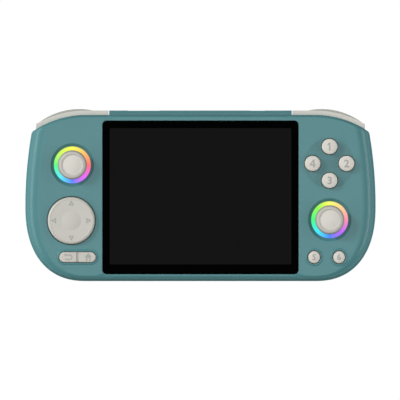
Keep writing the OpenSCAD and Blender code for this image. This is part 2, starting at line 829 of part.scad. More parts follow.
module trigger() {
    color("#a5a59f") difference() {
        union() {
            difference() {
                trigger_form(0);
                trigger_form(trigger_wall);
            }
            for (s = [-1, 1]) block(trigger_x + s * lug_x - 0.9, trigger_x + s * lug_x + 0.9,
                                    trigger_pivot[0] - 1.9, trigger_c[1] + trigger_r - trigger_wall - 1,
                                    trigger_z + trigger_wall / 2, trigger_top);
        }
        rod_x(trigger_x - ear_x, trigger_x + ear_x, trigger_pivot[0], trigger_pivot[1], pin_r + play);
    }
}

module left_trigger() { mirror([1, 0, 0]) trigger(); }
module right_trigger() { trigger(); }

module trigger_pins() {
    reach = ear_x + ear_t / 2;
    color("#b9bcbe") both_sides()
        rod_x(trigger_x - reach, trigger_x + reach, trigger_pivot[0], trigger_pivot[1], pin_r);
}

function unit(v) = v / norm(v);

// A round wire through a list of points that bends about the X axis.
module wire(points, r, sides) {
    last = len(points) - 1;
    rings = [for (i = [0:last])
        let (
            along = unit(points[min(last, i + 1)] - points[max(0, i - 1)]),
            across = unit(cross(along, [1, 0, 0])),
            third = cross(along, across)
        )
        [for (k = [0:sides - 1]) let (a = 360 * k / sides)
            points[i] + r * (cos(a) * across + sin(a) * third)]];
    polyhedron(
        points = [for (ring = rings) each ring],
        faces = concat(
            [[for (k = [0:sides - 1]) k], [for (k = [sides - 1:-1:0]) last * sides + k]],
            [for (i = [0:last - 1], k = [0:sides - 1])
                [i * sides + k, (i + 1) * sides + k, (i + 1) * sides + (k + 1) % sides]],
            [for (i = [0:last - 1], k = [0:sides - 1])
                [i * sides + k, (i + 1) * sides + (k + 1) % sides, i * sides + (k + 1) % sides]]
        )
    );
}

// Torsion spring round the trigger's pin: one leg bears on the pocket wall, the other on the trigger.
module trigger_spring() {
    wire_r = 0.25;
    coil_r = pin_r + wire_r + clear;
    turns = 5;
    steps = 8;
    pitch = 0.8;
    x0 = trigger_x - turns * pitch / 2;
    y = trigger_pivot[0];
    z = trigger_pivot[1];
    coil = [for (i = [0:turns * steps]) let (a = 90 + 360 * i / steps)
        [x0 + pitch * i / steps, y + coil_r * cos(a), z + coil_r * sin(a)]];
    color("#9ea3a6") wire(concat(
        [[x0, trigger_room_y + clear, z + coil_r], [x0, (trigger_room_y + y) / 2, z + coil_r]], coil,
        [[x0 + turns * pitch, y + 2, z + coil_r], [x0 + turns * pitch, y + 3.6, z + coil_r]]
    ), wire_r, 6);
}

module left_trigger_spring() { mirror([1, 0, 0]) trigger_spring(); }
module right_trigger_spring() { trigger_spring(); }

module shoulder_switches() {
    color("#33373a") both_sides() {
        bumper_switch(switch_w, switch_h, switch_t);
        block(trigger_x - switch_w / 2, trigger_x + switch_w / 2,
              trigger_room_y, trigger_room_y + trigger_switch_t,
              trigger_z + trigger_wall + trigger_swing, trigger_z + trigger_wall + trigger_swing + switch_h);
    }
}

module top_key(x, w) {
    back = top_lip_y - clear;
    color("#5e8486") {
        block(x - w / 2, x + w / 2, back - 0.4, top_key_y,
              top_key_z - top_key_h / 2, top_key_z + top_key_h / 2);
        block(x - w / 2 - 1, x + w / 2 + 1, back - top_flange_t, back,
              top_key_z - top_key_h / 2 - 0.5, top_key_z + top_key_h / 2 + 0.5);
    }
}

module power_button() { top_key(power_x, power_w); }

module volume_rocker() {
    top_key(volume_x, volume_w);
    color("#5e8486") rod_z(volume_x, rib_y, top_key_z - top_key_h / 2, top_key_z + top_key_h / 2, rib_r);
}

module top_switch_board() {
    y0 = key_board_y;
    y1 = top_lip_y - clear - top_flange_t - power_travel - 0.2;
    color("#1f4a38") {
        block(volume_x - volume_w / 2 - 1, power_x + power_w / 2 + 0.5, y0, y0 + 1,
              step_z, part_z - 0.2);
        for (x = [power_x, volume_x - volume_w / 3, volume_x + volume_w / 3])
            block(x - 1.5, x + 1.5, y0 + 1, y1, top_key_z - 1.5, top_key_z + 1.5);
        block(volume_x - rib_r, volume_x + rib_r, y0 + 1, rib_y - rib_r - play, top_key_z - 1, top_key_z + 1);
    }
}

module main_board() {
    hole = stick_base_half + 0.2;
    color("#1f4a38") difference() {
        slab(outline(case_top - inner_y + 0.6, wall + 6, wall + 4), board_z - board_t, board_z);
        for (s = sticks) block(s[0] - hole, s[0] + hole, s[1] - hole, s[1] + hole, 0, face_z);
        screw_columns(screw_r + 0.4, 0, face_z);
    }
}

module heat_spreader() {
    top = inner_y - wall;
    color("#aeb3b6") block(-spreader_w / 2, spreader_w / 2, top - spreader_h, top, port_z - 0.8, port_z);
}

module battery() {
    low = port_y + card_l + 1.2;
    color("#2b4a7a") translate([0, low + battery_h / 2, 0])
        slab(rounded(battery_w, battery_h, 2), floor_z, floor_z + battery_t);
}

module speaker(x) {
    w = speaker_w;
    l = speaker_w / 3;
    color("#1c1d1f") difference() {
        block(x - w / 2, x + w / 2, port_y + 0.2, port_y + 0.2 + l, step_z, step_z + speaker_t);
        block(x - w / 2 + 1, x + w / 2 - 1, port_y - past, port_y + 0.8,
              step_z + 0.6, step_z + speaker_t - 0.6);
    }
}

module left_speaker() { speaker(-speaker_x); }
module right_speaker() { speaker(speaker_x); }

module usb_port() {
    y0 = -case_bottom + 0.8;
    color("#b7babc") translate([usb_x, y0 + usb_l, port_z - usb_h / 2]) rotate([90, 0, 0]) difference() {
        linear_extrude(usb_l) polygon(rounded(usb_w, usb_h, usb_h / 2));
        translate([0, 0, 2]) linear_extrude(usb_l) difference() {
            polygon(rounded(usb_w - 0.6, usb_h - 0.6, usb_h / 2 - 0.3));
            square([usb_w - 2.4, 0.7], center = true);
        }
    }
}

module headphone_socket() {
    color("#1d1e20") difference() {
        block(jack_x - jack_w / 2, jack_x + jack_w / 2, port_y + 0.1, port_y + jack_l,
              port_z - jack_size, port_z);
        rod_y(jack_x, port_y - past, port_y + jack_l - 1, port_z - jack_size / 2, jack_r);
    }
}

module card_slot() {
    color("#b7babc") difference() {
        block(card_x - card_w / 2, card_x + card_w / 2, port_y + 0.1, port_y + card_l,
              port_z - card_h, port_z);
        block(card_x - card_w / 2 + 1.1, card_x + card_w / 2 - 1.1, port_y - past, port_y + card_l - 1,
              port_z - card_h + 0.5, port_z - 0.7);
    }
}

module case_screws() {
    color("#8f9498") {
        screw_columns(screw_r, screw_seat - screw_head_t / 2, screw_tip);
        screw_columns(screw_head_r, screw_seat - screw_head_t, screw_seat);
    }
}

module left_stick_cap() { at_left_stick() stick_cap(); }
module left_stick_shaft() { at_left_stick() stick_shaft(); }
module left_stick_collar() { at_left_stick() stick_collar(); }
module left_stick_ring() { at_left_stick() stick_ring(); }
module left_stick_base() { at_left_stick() stick_base(); }
module right_stick_cap() { at_right_stick() stick_cap(); }
module right_stick_shaft() { at_right_stick() stick_shaft(); }
module right_stick_collar() { at_right_stick() stick_collar(); }
module right_stick_ring() { at_right_stick() stick_ring(); }
module right_stick_base() { at_right_stick() stick_base(); }
module left_light_ring() { at_left_stick() light_ring(); }
module left_light_board() { at_left_stick() light_board(); }
module right_light_ring() { at_right_stick() light_ring(); }
module right_light_board() { at_right_stick() light_board(); }

front_shell();
rear_shell();
cover_glass();
glass_seal();
display_panel();
left_stick_cap();
left_stick_shaft();
left_stick_collar();
left_stick_ring();
left_stick_base();
right_stick_cap();
right_stick_shaft();
right_stick_collar();
right_stick_ring();
right_stick_base();
left_light_ring();
left_light_board();
right_light_ring();
right_light_board();
face_button_top();
face_button_right();
face_button_bottom();
face_button_left();
face_membrane();
direction_pad();
direction_pivot();
direction_post();
direction_membrane();
back_home_rocker();
back_home_membrane();
select_button();
start_button();
select_start_membrane();
left_bumper();
right_bumper();
bumper_pins();
left_trigger();
right_trigger();
trigger_pins();
left_trigger_spring();
right_trigger_spring();
shoulder_switches();
power_button();
volume_rocker();
top_switch_board();
main_board();
heat_spreader();
battery();
left_speaker();
right_speaker();
usb_port();
headphone_socket();
card_slot();
case_screws();
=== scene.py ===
# %% [markdown]
# # A handheld game console, dressed for the camera
#
# The solids of this console come from a CAD model: two case shells, a screen, sticks, buttons and
# everything inside. Here each visible piece gets the surface that a mould, a press or a print gives the
# real one. CAD solids have knife-sharp edges, and real mouldings never do, so most visible pieces are
# built again with rounded edges, at the sizes that the frame gives.

# %% Load the frame
import json
import math

import bmesh
import bpy
import numpy as np
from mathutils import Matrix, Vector
from mathutils.geometry import delaunay_2d_cdt


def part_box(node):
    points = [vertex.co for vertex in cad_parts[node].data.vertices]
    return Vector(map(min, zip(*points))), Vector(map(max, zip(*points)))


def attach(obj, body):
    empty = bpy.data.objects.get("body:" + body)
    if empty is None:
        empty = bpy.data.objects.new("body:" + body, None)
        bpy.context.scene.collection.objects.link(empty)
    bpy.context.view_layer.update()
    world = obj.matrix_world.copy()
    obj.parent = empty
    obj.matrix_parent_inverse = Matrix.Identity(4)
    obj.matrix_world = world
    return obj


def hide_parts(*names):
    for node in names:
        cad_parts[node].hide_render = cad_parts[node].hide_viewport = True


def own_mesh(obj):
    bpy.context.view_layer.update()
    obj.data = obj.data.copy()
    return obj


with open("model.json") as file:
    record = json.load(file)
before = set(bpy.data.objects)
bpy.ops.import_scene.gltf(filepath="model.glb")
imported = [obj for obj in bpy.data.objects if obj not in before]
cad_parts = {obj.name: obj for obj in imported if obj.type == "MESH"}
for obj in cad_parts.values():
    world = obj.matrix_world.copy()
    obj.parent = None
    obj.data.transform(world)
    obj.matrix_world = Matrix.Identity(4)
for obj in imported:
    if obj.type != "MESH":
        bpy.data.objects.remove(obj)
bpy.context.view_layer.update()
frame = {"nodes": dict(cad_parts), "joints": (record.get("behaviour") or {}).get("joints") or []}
print("solids in the frame:", len(frame["nodes"]))

# %% [markdown]
# ## Sizes
#
# Blender works in metres, and a console is easier to think of in millimetres, so one factor turns one
# into the other. Places and main sizes are read from the boxes of the CAD solids. Radii, wall thicknesses
# and other details that a box can't tell are numbers of this script.

# %% Sizes read from the frame
MM = 0.001


def corners(node):
    low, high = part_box(node)
    return np.array(low) / MM, np.array(high) / MM


def middle(node):
    low, high = corners(node)
    return (low + high) / 2


def extent(node):
    low, high = corners(node)
    return high - low


PART_Z, FACE_Z = corners("front_shell")[0][2], corners("front_shell")[1][2]
WALL = 2.0
ROOF_Z = FACE_Z - WALL
CASE_TOP = corners("front_shell")[1][1]
CASE_BOTTOM = -corners("front_shell")[0][1]
HALF_W = corners("front_shell")[1][0]
FRONT_T = FACE_Z - PART_Z
BOTH = ("left", "right")
print("case", 2 * HALF_W, "by", CASE_TOP + CASE_BOTTOM, "mm, face at", FACE_Z, "mm")

# %% [markdown]
# ## Colour and nodes
#
# Colours are written the way a paint chart or a web page gives them, as sRGB hex. Shaders want linear
# light, so one function converts them. Another adds a node, sets its values and links it, and a third
# does that for one step of arithmetic.


# %% Colour and node helpers
def linear(code, alpha=1.0):
    channels = [int(code[i : i + 2], 16) / 255 for i in (1, 3, 5)]
    curve = [c / 12.92 if c <= 0.04045 else ((c + 0.055) / 1.055) ** 2.4 for c in channels]
    return (*curve, alpha)


def add(tree, kind, settings=None, links=None):
    node = tree.nodes.new(kind)
    for key, value in (settings or {}).items():
        if isinstance(key, str) and hasattr(node, key):
            setattr(node, key, value)
        else:
            node.inputs[key].default_value = value
    for key, source in (links or {}).items():
        tree.links.new(source, node.inputs[key])
    return node


def maths(tree, kind, *terms):
    numbers = {i: term for i, term in enumerate(terms) if isinstance(term, float)}
    sources = {i: term for i, term in enumerate(terms) if not isinstance(term, float)}
    return add(tree, "ShaderNodeMath", {"operation": kind, **numbers}, sources).outputs[0]


def new_material(name, settings):
    material = bpy.data.materials.new(name)
    material.use_nodes = True
    shader = material.node_tree.nodes["Principled BSDF"]
    for key, value in settings.items():
        shader.inputs[key].default_value = value
    return material, material.node_tree, shader


def per_metre(millimetres):
    return 1 / (millimetres * MM)


# %% [markdown]
# ## Moulded plastic
#
# The shells and the keys are ABS, moulded against steel that was spark-eroded to a fine grain. To the eye
# that gives a soft, even sheen with no mirror image, a very slight unevenness of tone, and a grain that
# only shows close up. The grain on the real part is about 0.1 mm wide, too fine for the picture, so it is
# drawn at 0.45 mm and kept shallow.

# %% Moulded ABS
CLOUD_MM, GRAIN_MM, GRAIN_DEPTH_MM = 14, 0.45, 0.002


def clouded(tree, shader, code, tint, size_mm, **noise):
    place = add(tree, "ShaderNodeTexCoord").outputs["Object"]
    clouds = add(tree, "ShaderNodeTexNoise", {"Scale": per_metre(size_mm), "Detail": 3.0, **noise},
                 {"Vector": place}).outputs["Fac"]
    tone = add(tree, "ShaderNodeMix", {"data_type": "RGBA", 6: linear(code), 7: linear(tint)}, {0: clouds})
    tree.links.new(tone.outputs[2], shader.inputs["Base Color"])
    return place, clouds


def moulded_abs(name, code, tint, roughness, gloss=0.3):
    material, tree, shader = new_material(name, {"IOR": 1.52, "Specular IOR Level": gloss})
    place, _ = clouded(tree, shader, code, tint, CLOUD_MM, Roughness=0.55)
    grain = add(tree, "ShaderNodeTexNoise", {"Scale": per_metre(GRAIN_MM), "Detail": 2.0},
                {"Vector": place}).outputs["Fac"]
    bump = add(tree, "ShaderNodeBump", {"Strength": 0.35, "Distance": GRAIN_DEPTH_MM * MM}, {"Height": grain})
    sheen = add(tree, "ShaderNodeMapRange", {"From Min": 0.3, "From Max": 0.7, "To Min": roughness - 0.02,
                                             "To Max": roughness + 0.03}, {"Value": grain})
    tree.links.new(bump.outputs["Normal"], shader.inputs["Normal"])
    tree.links.new(sheen.outputs["Result"], shader.inputs["Roughness"])
    return material


TEAL = moulded_abs("moulded_teal_abs", "#4a7f82", "#477b7f", 0.31)
TEAL_EDGE = moulded_abs("grained_teal_abs", "#4a7f82", "#477b7f", 0.6, gloss=0.06)
# The darker teal of the face button dish is painted shade, cast by the four keys into the dish.
TEAL_DISH_SHADE = moulded_abs("moulded_teal_abs_painted_dish_shade", "#48787b", "#457478", 0.31, gloss=0.27)
TEAL_REAR = moulded_abs("moulded_teal_abs_rear", "#4a7e81", "#477a7e", 0.32)
KEYS = moulded_abs("moulded_beige_abs_keys", "#cecbc3", "#c9c6be", 0.34)
# The stick's grained ring has real grain, and its darker beige is painted shade of the sloping cap.
GRIP_GRAIN_AND_SHADE = moulded_abs("grained_beige_abs_grip_and_painted_shade", "#bbb8b1", "#b6b3ac", 0.5, gloss=0.15)
# The lip's darker beige is painted shade of the stick's steep rim.
LIP_PAINTED_SHADE = moulded_abs("grained_beige_abs_lip_painted_shade", "#98958f", "#93908a", 0.6, gloss=0.06)
PAD = moulded_abs("moulded_beige_abs_pad", "#bebcb4", "#b9b7af", 0.36)
BUMPERS = moulded_abs("moulded_beige_abs_bumpers", "#d0cec6", "#cbc9c1", 0.36)
# The triggers are the bumpers' beige made darker: painted shade, as they sit behind the bumpers.
TRIGGERS_PAINTED_SHADE = moulded_abs("moulded_beige_abs_triggers_painted_shade", "#b8b6af", "#b3b1aa", 0.38)
INNER = moulded_abs("moulded_black_nylon", "#25282b", "#222528", 0.55)
print("moulded plastics ready")

# %% [markdown]
# ## The other materials
#
# The cover glass is printed black on its back, and it has an anti-reflection coating, so it mirrors far
# less than bare glass would. The display behind its window is switched off and shows a very dark grey.
# Pad prints on the keys are a mid-grey ink, and the same grey on the floor of the rocker's channel is painted
# shade. Boards, steel, rubber and aluminium are inside and show only through gaps, but they get their own
# finish too.


# %% Glass, ink, rubber, metal and board
def fine_finish(name, code, tint, roughness, spot_mm, settings):
    material, tree, shader = new_material(name, {"Roughness": roughness, **settings})
    _, spots = clouded(tree, shader, code, tint, spot_mm)
    worn = add(tree, "ShaderNodeMapRange", {"To Min": roughness * 0.9, "To Max": roughness * 1.15},
               {"Value": spots})
    tree.links.new(worn.outputs["Result"], shader.inputs["Roughness"])
    return material


COATED = {"IOR": 1.5, "Specular IOR Level": 0.004}
GLASS = fine_finish("coated_glass_printed_black", "#000000", "#010101", 0.12, 20, COATED)
DISPLAY = fine_finish("display_window_switched_off", "#131313", "#121212", 0.16, 25, COATED)
# This grey is print on the marks, and painted shade on the floor of the rocker's channel.
INK_AND_CHANNEL_SHADE = fine_finish("pad_printed_grey_ink_and_painted_channel_shade", "#a09f9a", "#9a9994", 0.5, 1.2, {"IOR": 1.45})
RUBBER = fine_finish("moulded_silicone_rubber", "#9aa0a2", "#93999b", 0.6, 3, {"IOR": 1.41})
STEEL = fine_finish("nickel_plated_steel", "#b7babc", "#aeb2b4", 0.3, 0.8, {"Metallic": 1.0})
BLACK_STEEL = fine_finish("black_oxide_steel", "#4a4c4e", "#434547", 0.38, 0.6, {"Metallic": 1.0})
ALUMINIUM = fine_finish("rolled_aluminium_sheet", "#aeb3b6", "#a6abae", 0.35, 1.5, {"Metallic": 1.0})
BOARD = fine_finish("glass_epoxy_board", "#1f4a38", "#1b4433", 0.4, 2, {"IOR": 1.55})
FOAM = fine_finish("black_foam_tape", "#202224", "#1b1d1f", 0.8, 0.5, {"IOR": 1.4})
POUCH = fine_finish("shrink_wrapped_pouch", "#2b4a7a", "#284572", 0.35, 6, {"IOR": 1.5})
NYLON = fine_finish("turned_white_nylon", "#e2e0da", "#dbd9d3", 0.45, 1.0, {"IOR": 1.53})
print("materials so far:", len(bpy.data.materials))

# %% [markdown]
# ## Building skins
#
# A moulded piece is a closed skin: rings of points joined by strips of faces, with flat areas filled in
# between. Collecting points and faces one by one gives exact control of every rounded edge, which a boolean
# cut followed by a bevel can't promise. Flat areas with holes are filled by a constrained triangulation. The
# outlines part its triangles into regions, and a region that lies in a hole or outside is dropped whole, so
# no sliver goes astray. At the end the normals are turned outwards, and weighted normals keep the large flat
# areas flat beside their small rounded edges.


# %% Skin helpers
def inside(points, loop):
    x, y = points[:, 0][:, None], points[:, 1][:, None]
    ax, ay = loop[:, 0], loop[:, 1]
    bx, by = np.roll(ax, -1), np.roll(ay, -1)
    crosses = (ay > y) != (by > y)
    rise = np.where(by == ay, 1.0, by - ay)
    return (np.sum(crosses & (x < (bx - ax) * (y - ay) / rise + ax), axis=1) % 2) == 1


def regions(triangles, walls):
    touching = {}
    for t in triangles:
        for side in ((t[0], t[1]), (t[1], t[2]), (t[2], t[0])):
            touching.setdefault(frozenset(side), []).append(t)
    left = set(triangles)
    while left:
        queue = [left.pop()]
        for t in queue:
            for side in ((t[0], t[1]), (t[1], t[2]), (t[2], t[0])):
                if frozenset(side) not in walls:
                    queue += [other for other in touching[frozenset(side)] if other in left]
                    left.difference_update(touching[frozenset(side)])
        yield queue


class Skin:
    def __init__(self):
        self.points, self.faces, self.slots = [], [], []

    def ring(self, flat, z):
        first = len(self.points)
        heights = np.broadcast_to(z, len(flat))
        self.points += [(p[0], p[1], h) for p, h in zip(flat, heights)]
        return list(range(first, len(self.points)))

    def bridge(self, a, b, slot=0):
        n = len(a)
        self.faces += [(a[i], a[(i + 1) % n], b[(i + 1) % n], b[i]) for i in range(n)]
        self.slots += [slot] * n

    def loft(self, rings):
        for a, b in zip(rings, rings[1:]):
            self.bridge(a, b)

    def fill(self, outer, holes=(), loose=(), slot=0):
        loops = [outer, *holes]
        ids = [i for loop in loops for i in loop] + list(loose)
        flat = np.array([self.points[i][:2] for i in ids])
        edges, start = [], 0
        for loop in loops:
            edges += [(start + i, start + (i + 1) % len(loop)) for i in range(len(loop))]
            start += len(loop)
        found = delaunay_2d_cdt([Vector(p) for p in flat], edges, [], 0, 1e-7)
        triangles = [tuple(found[3][v][0] for v in face) for face in found[2]]
        outlines = [np.array([self.points[i][:2] for i in loop]) for loop in loops]
        for region in regions(triangles, {frozenset(edge) for edge in edges}):
            corners3 = flat[np.array(region)]
            sides = corners3[:, 1:] - corners3[:, :1]
            area = np.abs(sides[:, 0, 0] * sides[:, 1, 1] - sides[:, 0, 1] * sides[:, 1, 0])
            probe = corners3[area.argmax()].mean(axis=0)[None]
            in_hole = any(inside(probe, hole)[0] for hole in outlines[1:])
            if area.sum() > 1e-6 and inside(probe, outlines[0])[0] and not in_hole:
                self.faces += [tuple(ids[v] for v in t) for t in region]
                self.slots += [slot] * len(region)

    def cap(self, ring, z, slot=0):
        self.points.append((*np.mean([self.points[i][:2] for i in ring], axis=0), z))
        tip = len(self.points) - 1
        self.faces += [(ring[i], ring[(i + 1) % len(ring)], tip) for i in range(len(ring))]
        self.slots += [slot] * len(ring)


SHARP_DEG, WELD_DEG, SCREW_DEG = 38, 32, 30


def coat(mesh, material):
    mesh.materials.clear()
    mesh.materials.append(material)


def linked(name, data):
    thing = bpy.data.objects.new(name, data)
    bpy.context.scene.collection.objects.link(thing)
    return thing


def show(name, mesh, sharp_deg, body, replaced=(), bevel_mm=0.0):
    mesh.shade_smooth()
    mesh.set_sharp_from_angle(angle=math.radians(sharp_deg))
    piece = linked(name, mesh)
    if bevel_mm:
        bevel = piece.modifiers.new("moulded_edges", "BEVEL")
        bevel.limit_method, bevel.angle_limit = "ANGLE", math.radians(sharp_deg)
        bevel.width, bevel.segments = bevel_mm * MM, 4
    weighted = piece.modifiers.new("weighted_normals", "WEIGHTED_NORMAL")
    weighted.weight, weighted.keep_sharp = 90, True
    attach(piece, body)
    if replaced:
        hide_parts(*replaced)
    return piece


def dress(name, skin, materials, body, replaced=()):
    mesh = bpy.data.meshes.new(name)
    mesh.from_pydata([tuple(c * MM for c in p) for p in skin.points], [], skin.faces)
    for material in materials:
        mesh.materials.append(material)
    mesh.polygons.foreach_set("material_index", skin.slots)
    work = bmesh.new()
    work.from_mesh(mesh)
    bmesh.ops.delete(work, geom=[v for v in work.verts if not v.link_faces], context="VERTS")
    bmesh.ops.recalc_face_normals(work, faces=work.faces)
    work.to_mesh(mesh)
    work.free()
    print(name, "has", len(mesh.polygons), "faces")
    return show(name, mesh, SHARP_DEG, body, replaced)


# %% [markdown]
# ## Outlines
#
# The case outline is drawn as its designer would: a straight top, a wide shoulder arc, a small corner, a
# nearly straight side, and a lower corner that is a superellipse, softer than any circle. The same
# function gives the outline at any distance inside the rim. Openings are circles, pills and rounded
# rectangles that can be grown by an offset, because a rounded edge is only a set of grown outlines.

# %% Outline functions
SHOULDER_X, SHOULDER_R = 60.0, 50.0
SIDE_R, WAIST_Y = 224.0, -5.5
CORNER_POWER, CORNER_FILLET = 2.35, 2.6
SHOULDER_C = np.array([SHOULDER_X, CASE_TOP - SHOULDER_R])
SIDE_C = np.array([HALF_W - SIDE_R, WAIST_Y])


def arc(centre, radius, start, end, steps):
    turn = np.radians(np.linspace(start, end, steps + 1))
    return np.asarray(centre) + radius * np.column_stack([np.cos(turn), np.sin(turn)])


def crossing(c1, r1, c2, r2):
    gap = np.linalg.norm(c2 - c1)
    along = (c2 - c1) / gap
    a = (r1**2 - r2**2 + gap**2) / (2 * gap)
    return c1 + a * along + math.sqrt(r1**2 - a**2) * np.array([along[1], -along[0]])


def case_outline(top, side, bottom):
    centre = crossing(SHOULDER_C, SHOULDER_R - top - CORNER_FILLET, SIDE_C, SIDE_R - side - CORNER_FILLET)
    a1 = math.degrees(math.atan2(*(centre - SHOULDER_C)[::-1]))
    a2 = math.degrees(math.atan2(*(centre - SIDE_C)[::-1]))
    width, height = HALF_W - SHOULDER_X - side, CASE_BOTTOM + WAIST_Y - bottom
    lines = np.linspace(0, SHOULDER_X, 13)[:-1]
    turn = np.radians(np.linspace(0, 90, 57))[1:]
    half = np.vstack([
        np.column_stack([lines, np.full(12, CASE_TOP - top)]),
        arc(SHOULDER_C, SHOULDER_R - top, 90, a1, 36),
        arc(centre, CORNER_FILLET, a1, a2, 10)[1:],
        arc(SIDE_C, SIDE_R - side, a2, 0, 30)[1:],
        np.column_stack([SHOULDER_X + width * np.abs(np.cos(turn)) ** (2 / CORNER_POWER),
                         WAIST_Y - height * np.sin(turn) ** (2 / CORNER_POWER)]),
        np.column_stack([lines[::-1], np.full(12, bottom - CASE_BOTTOM)]),
    ])
    return np.vstack([half, half[-2:0:-1] * [-1, 1]])


def circle(centre, radius, steps=96):
    return lambda grow: arc(centre[:2], radius + grow, 90, -270, steps)[:-1]


def stadium(centre, width, height, steps=32):
    reach = np.array([(width - height) / 2, 0])
    return lambda grow: np.vstack([arc(centre[:2] + reach, height / 2 + grow, 90, -90, steps),
                                   arc(centre[:2] - reach, height / 2 + grow, 270, 90, steps)])


def rounded_rectangle(centre, width, height, radius, steps=10):
    x, y = width / 2 - radius, height / 2 - radius
    quarters = [((x, y), 90), ((x, -y), 0), ((-x, -y), -90), ((-x, y), 180)]
    return lambda grow: np.vstack([arc(centre[:2] + np.array(c), radius + grow, a, a - 90, steps)
                                   for c, a in quarters])


def ease(t):
    t = np.clip(t, 0, 1)
    return t * t * (3 - 2 * t)


def opening(skin, shape, top, bottom, edge, steps=5):
    rings = [skin.ring(shape(edge * (1 - math.sin(t))), top - edge * (1 - math.cos(t)))
             for t in np.radians(np.linspace(0, 90, steps + 1))]
    rings.append(skin.ring(shape(0), bottom))
    skin.loft(rings)
    return rings[0], rings[-1]


def collar(skin, shape, level, rise, blend, steps=8):
    rings = []
    for t in np.linspace(0, 1, steps + 1):
        flat = shape(blend * (1 - 2 * t))
        rings.append(skin.ring(flat, level(flat) + rise * ease(t)))
    skin.loft(rings)
    return rings[0], rings[-1]


print("case outline has", len(case_outline(0, 0, 0)), "points")

# %% [markdown]
# ## Front case
#
# The face rolls down to the parting line along a quarter ellipse: nearly 8 mm wide at the sides, where the
# hands lie, and much tighter at the top and bottom. The openings get small radii, because a mould can't
# make a knife edge and a thumb wouldn't like one. The small keys of the lower edge stand in low raised
# collars. The collar of the start button reaches into the roll of the lower corner, so one function gives
# the height of the roll at any point, and the last rings of the roll are loose points in the triangulated
# face. Where the roll is steep, or looks up along the top edge, the mould leaves it matt, with hardly any
# gloss, so those faces get a second material.

# %% Places and sizes of the controls
ROLL = {"top": 1.3, "side": 7.75, "bottom": 3.2}
GAP, PAD_GAP = 0.3, 0.4
FLANGE, PAD_FLANGE, ROCKER_FLANGE, RING_LAP = 0.85, 1.65, 1.0, 0.2
STICKS = {side: middle(f"{side}_stick_cap") for side in BOTH}
WELL_R, LIT_R = extent("left_light_ring")[0] / 2 - RING_LAP, 9.8
FACE_KEYS = {name: middle(f"face_button_{name}") for name in ("top", "right", "bottom", "left")}
FACE_C = (FACE_KEYS["left"] + FACE_KEYS["right"]) / 2
FACE_R = extent("face_button_top")[0] / 2 - FLANGE
DISH_R = (FACE_KEYS["right"] - FACE_KEYS["left"])[0] / 2 + FACE_R
PAD_C, PAD_R = middle("direction_pad"), extent("direction_pad")[0] / 2 - PAD_FLANGE
ROCKER_C, ROCKER = middle("back_home_rocker"), extent("back_home_rocker")[:2] - 2 * ROCKER_FLANGE
SMALL_KEYS = {name: middle(f"{name}_button") for name in ("select", "start")}
SMALL_R = extent("select_button")[0] / 2 - FLANGE
GLASS_C, GLASS_SIZE = middle("cover_glass"), extent("cover_glass")[:2]
SEAL_Z = corners("glass_seal")[0][2]
print("face buttons", 2 * FACE_R, "mm, direction pad", 2 * PAD_R, "mm, stick wells", 2 * WELL_R, "mm")

# %% Rolled edge of the front case
WELL_EDGE, WELL_LIP = 0.5, 0.5
FLAT_RING = 14
STEEP, UPWARD = math.cos(math.radians(58)), 0.2


def stick_well(skin, place):
    steep = math.atan2(FACE_Z - ROOF_Z - WELL_LIP, WELL_R - LIT_R)
    rings = []
    for t in np.linspace(0, steep, 6):
        grow = WELL_EDGE * (math.tan(steep / 2) - math.sin(t))
        rings.append(skin.ring(circle(place, WELL_R)(grow), FACE_Z - WELL_EDGE * (1 - math.cos(t))))
    rings += [skin.ring(circle(place, LIT_R)(0), z) for z in (ROOF_Z + WELL_LIP, ROOF_Z)]
    skin.loft(rings)
    return rings[0], rings[-1]


def roll_level(flat):
    x = np.maximum(np.abs(flat[:, 0]) - SHOULDER_X, 0)
    y = np.maximum(WAIST_Y - flat[:, 1], 0)
    low, high = np.zeros(len(flat)), np.ones(len(flat))
    for _ in range(30):
        share = (low + high) / 2
        across = x / (HALF_W - SHOULDER_X - ROLL["side"] * share)
        down = y / (CASE_BOTTOM + WAIST_Y - ROLL["bottom"] * share)
        out = across**CORNER_POWER + down**CORNER_POWER > 1
        high, low = np.where(out, share, high), np.where(out, low, share)
    return PART_Z + FRONT_T * np.sqrt(1 - (1 - high) ** 2)


def grained(faces):
    shapes = np.array(front.points)[np.array(faces)]
    normals = np.cross(shapes[:, 2] - shapes[:, 0], shapes[:, -1] - shapes[:, 1])
    normals *= (np.sign(normals[:, 2]) / np.linalg.norm(normals, axis=1))[:, None]
    return (normals[:, 2] < STEEP) | (normals[:, 1] > UPWARD)


front, rolled = Skin(), []
for t in np.radians(np.linspace(0, 90, 19)):
    flat = case_outline(*(ROLL[side] * (1 - math.cos(t)) for side in ("top", "side", "bottom")))
    rolled.append(front.ring(flat, PART_Z + FRONT_T * math.sin(t)))
front.loft(rolled[: FLAT_RING + 1])
front.slots = [int(g) for g in grained(front.faces)]
print("rolled edge has", len(front.faces), "faces,", sum(front.slots), "of them grained")

# %% Openings and collars of the front case
GLASS_GAP, GLASS_CORNER, WINDOW_EDGE, LEDGE, LEDGE_CORNER = 0.3, 2.3, 0.2, 3.4, 1.0
PAD_HOLE_EDGE = 0.35
COLLAR_W, COLLAR_RISE, COLLAR_EDGE, HOLE_EDGE = 1.1, 0.35, 0.5, 0.25
above, below = [], []


def cut(rim, back):
    above.append(rim)
    below.append(back)


window = rounded_rectangle(GLASS_C, *(GLASS_SIZE + GLASS_GAP), GLASS_CORNER)
ledge = rounded_rectangle(GLASS_C, *(GLASS_SIZE - LEDGE), LEDGE_CORNER)
rim, seat = opening(front, window, FACE_Z, SEAL_Z, WINDOW_EDGE)
inner, back = front.ring(ledge(0), SEAL_Z), front.ring(ledge(0), ROOF_Z)
front.loft([seat, inner, back])
cut(rim, back)
for place in STICKS.values():
    cut(*stick_well(front, place))
cut(*opening(front, circle(PAD_C, PAD_R + PAD_GAP, 128), FACE_Z, ROOF_Z, PAD_HOLE_EDGE))

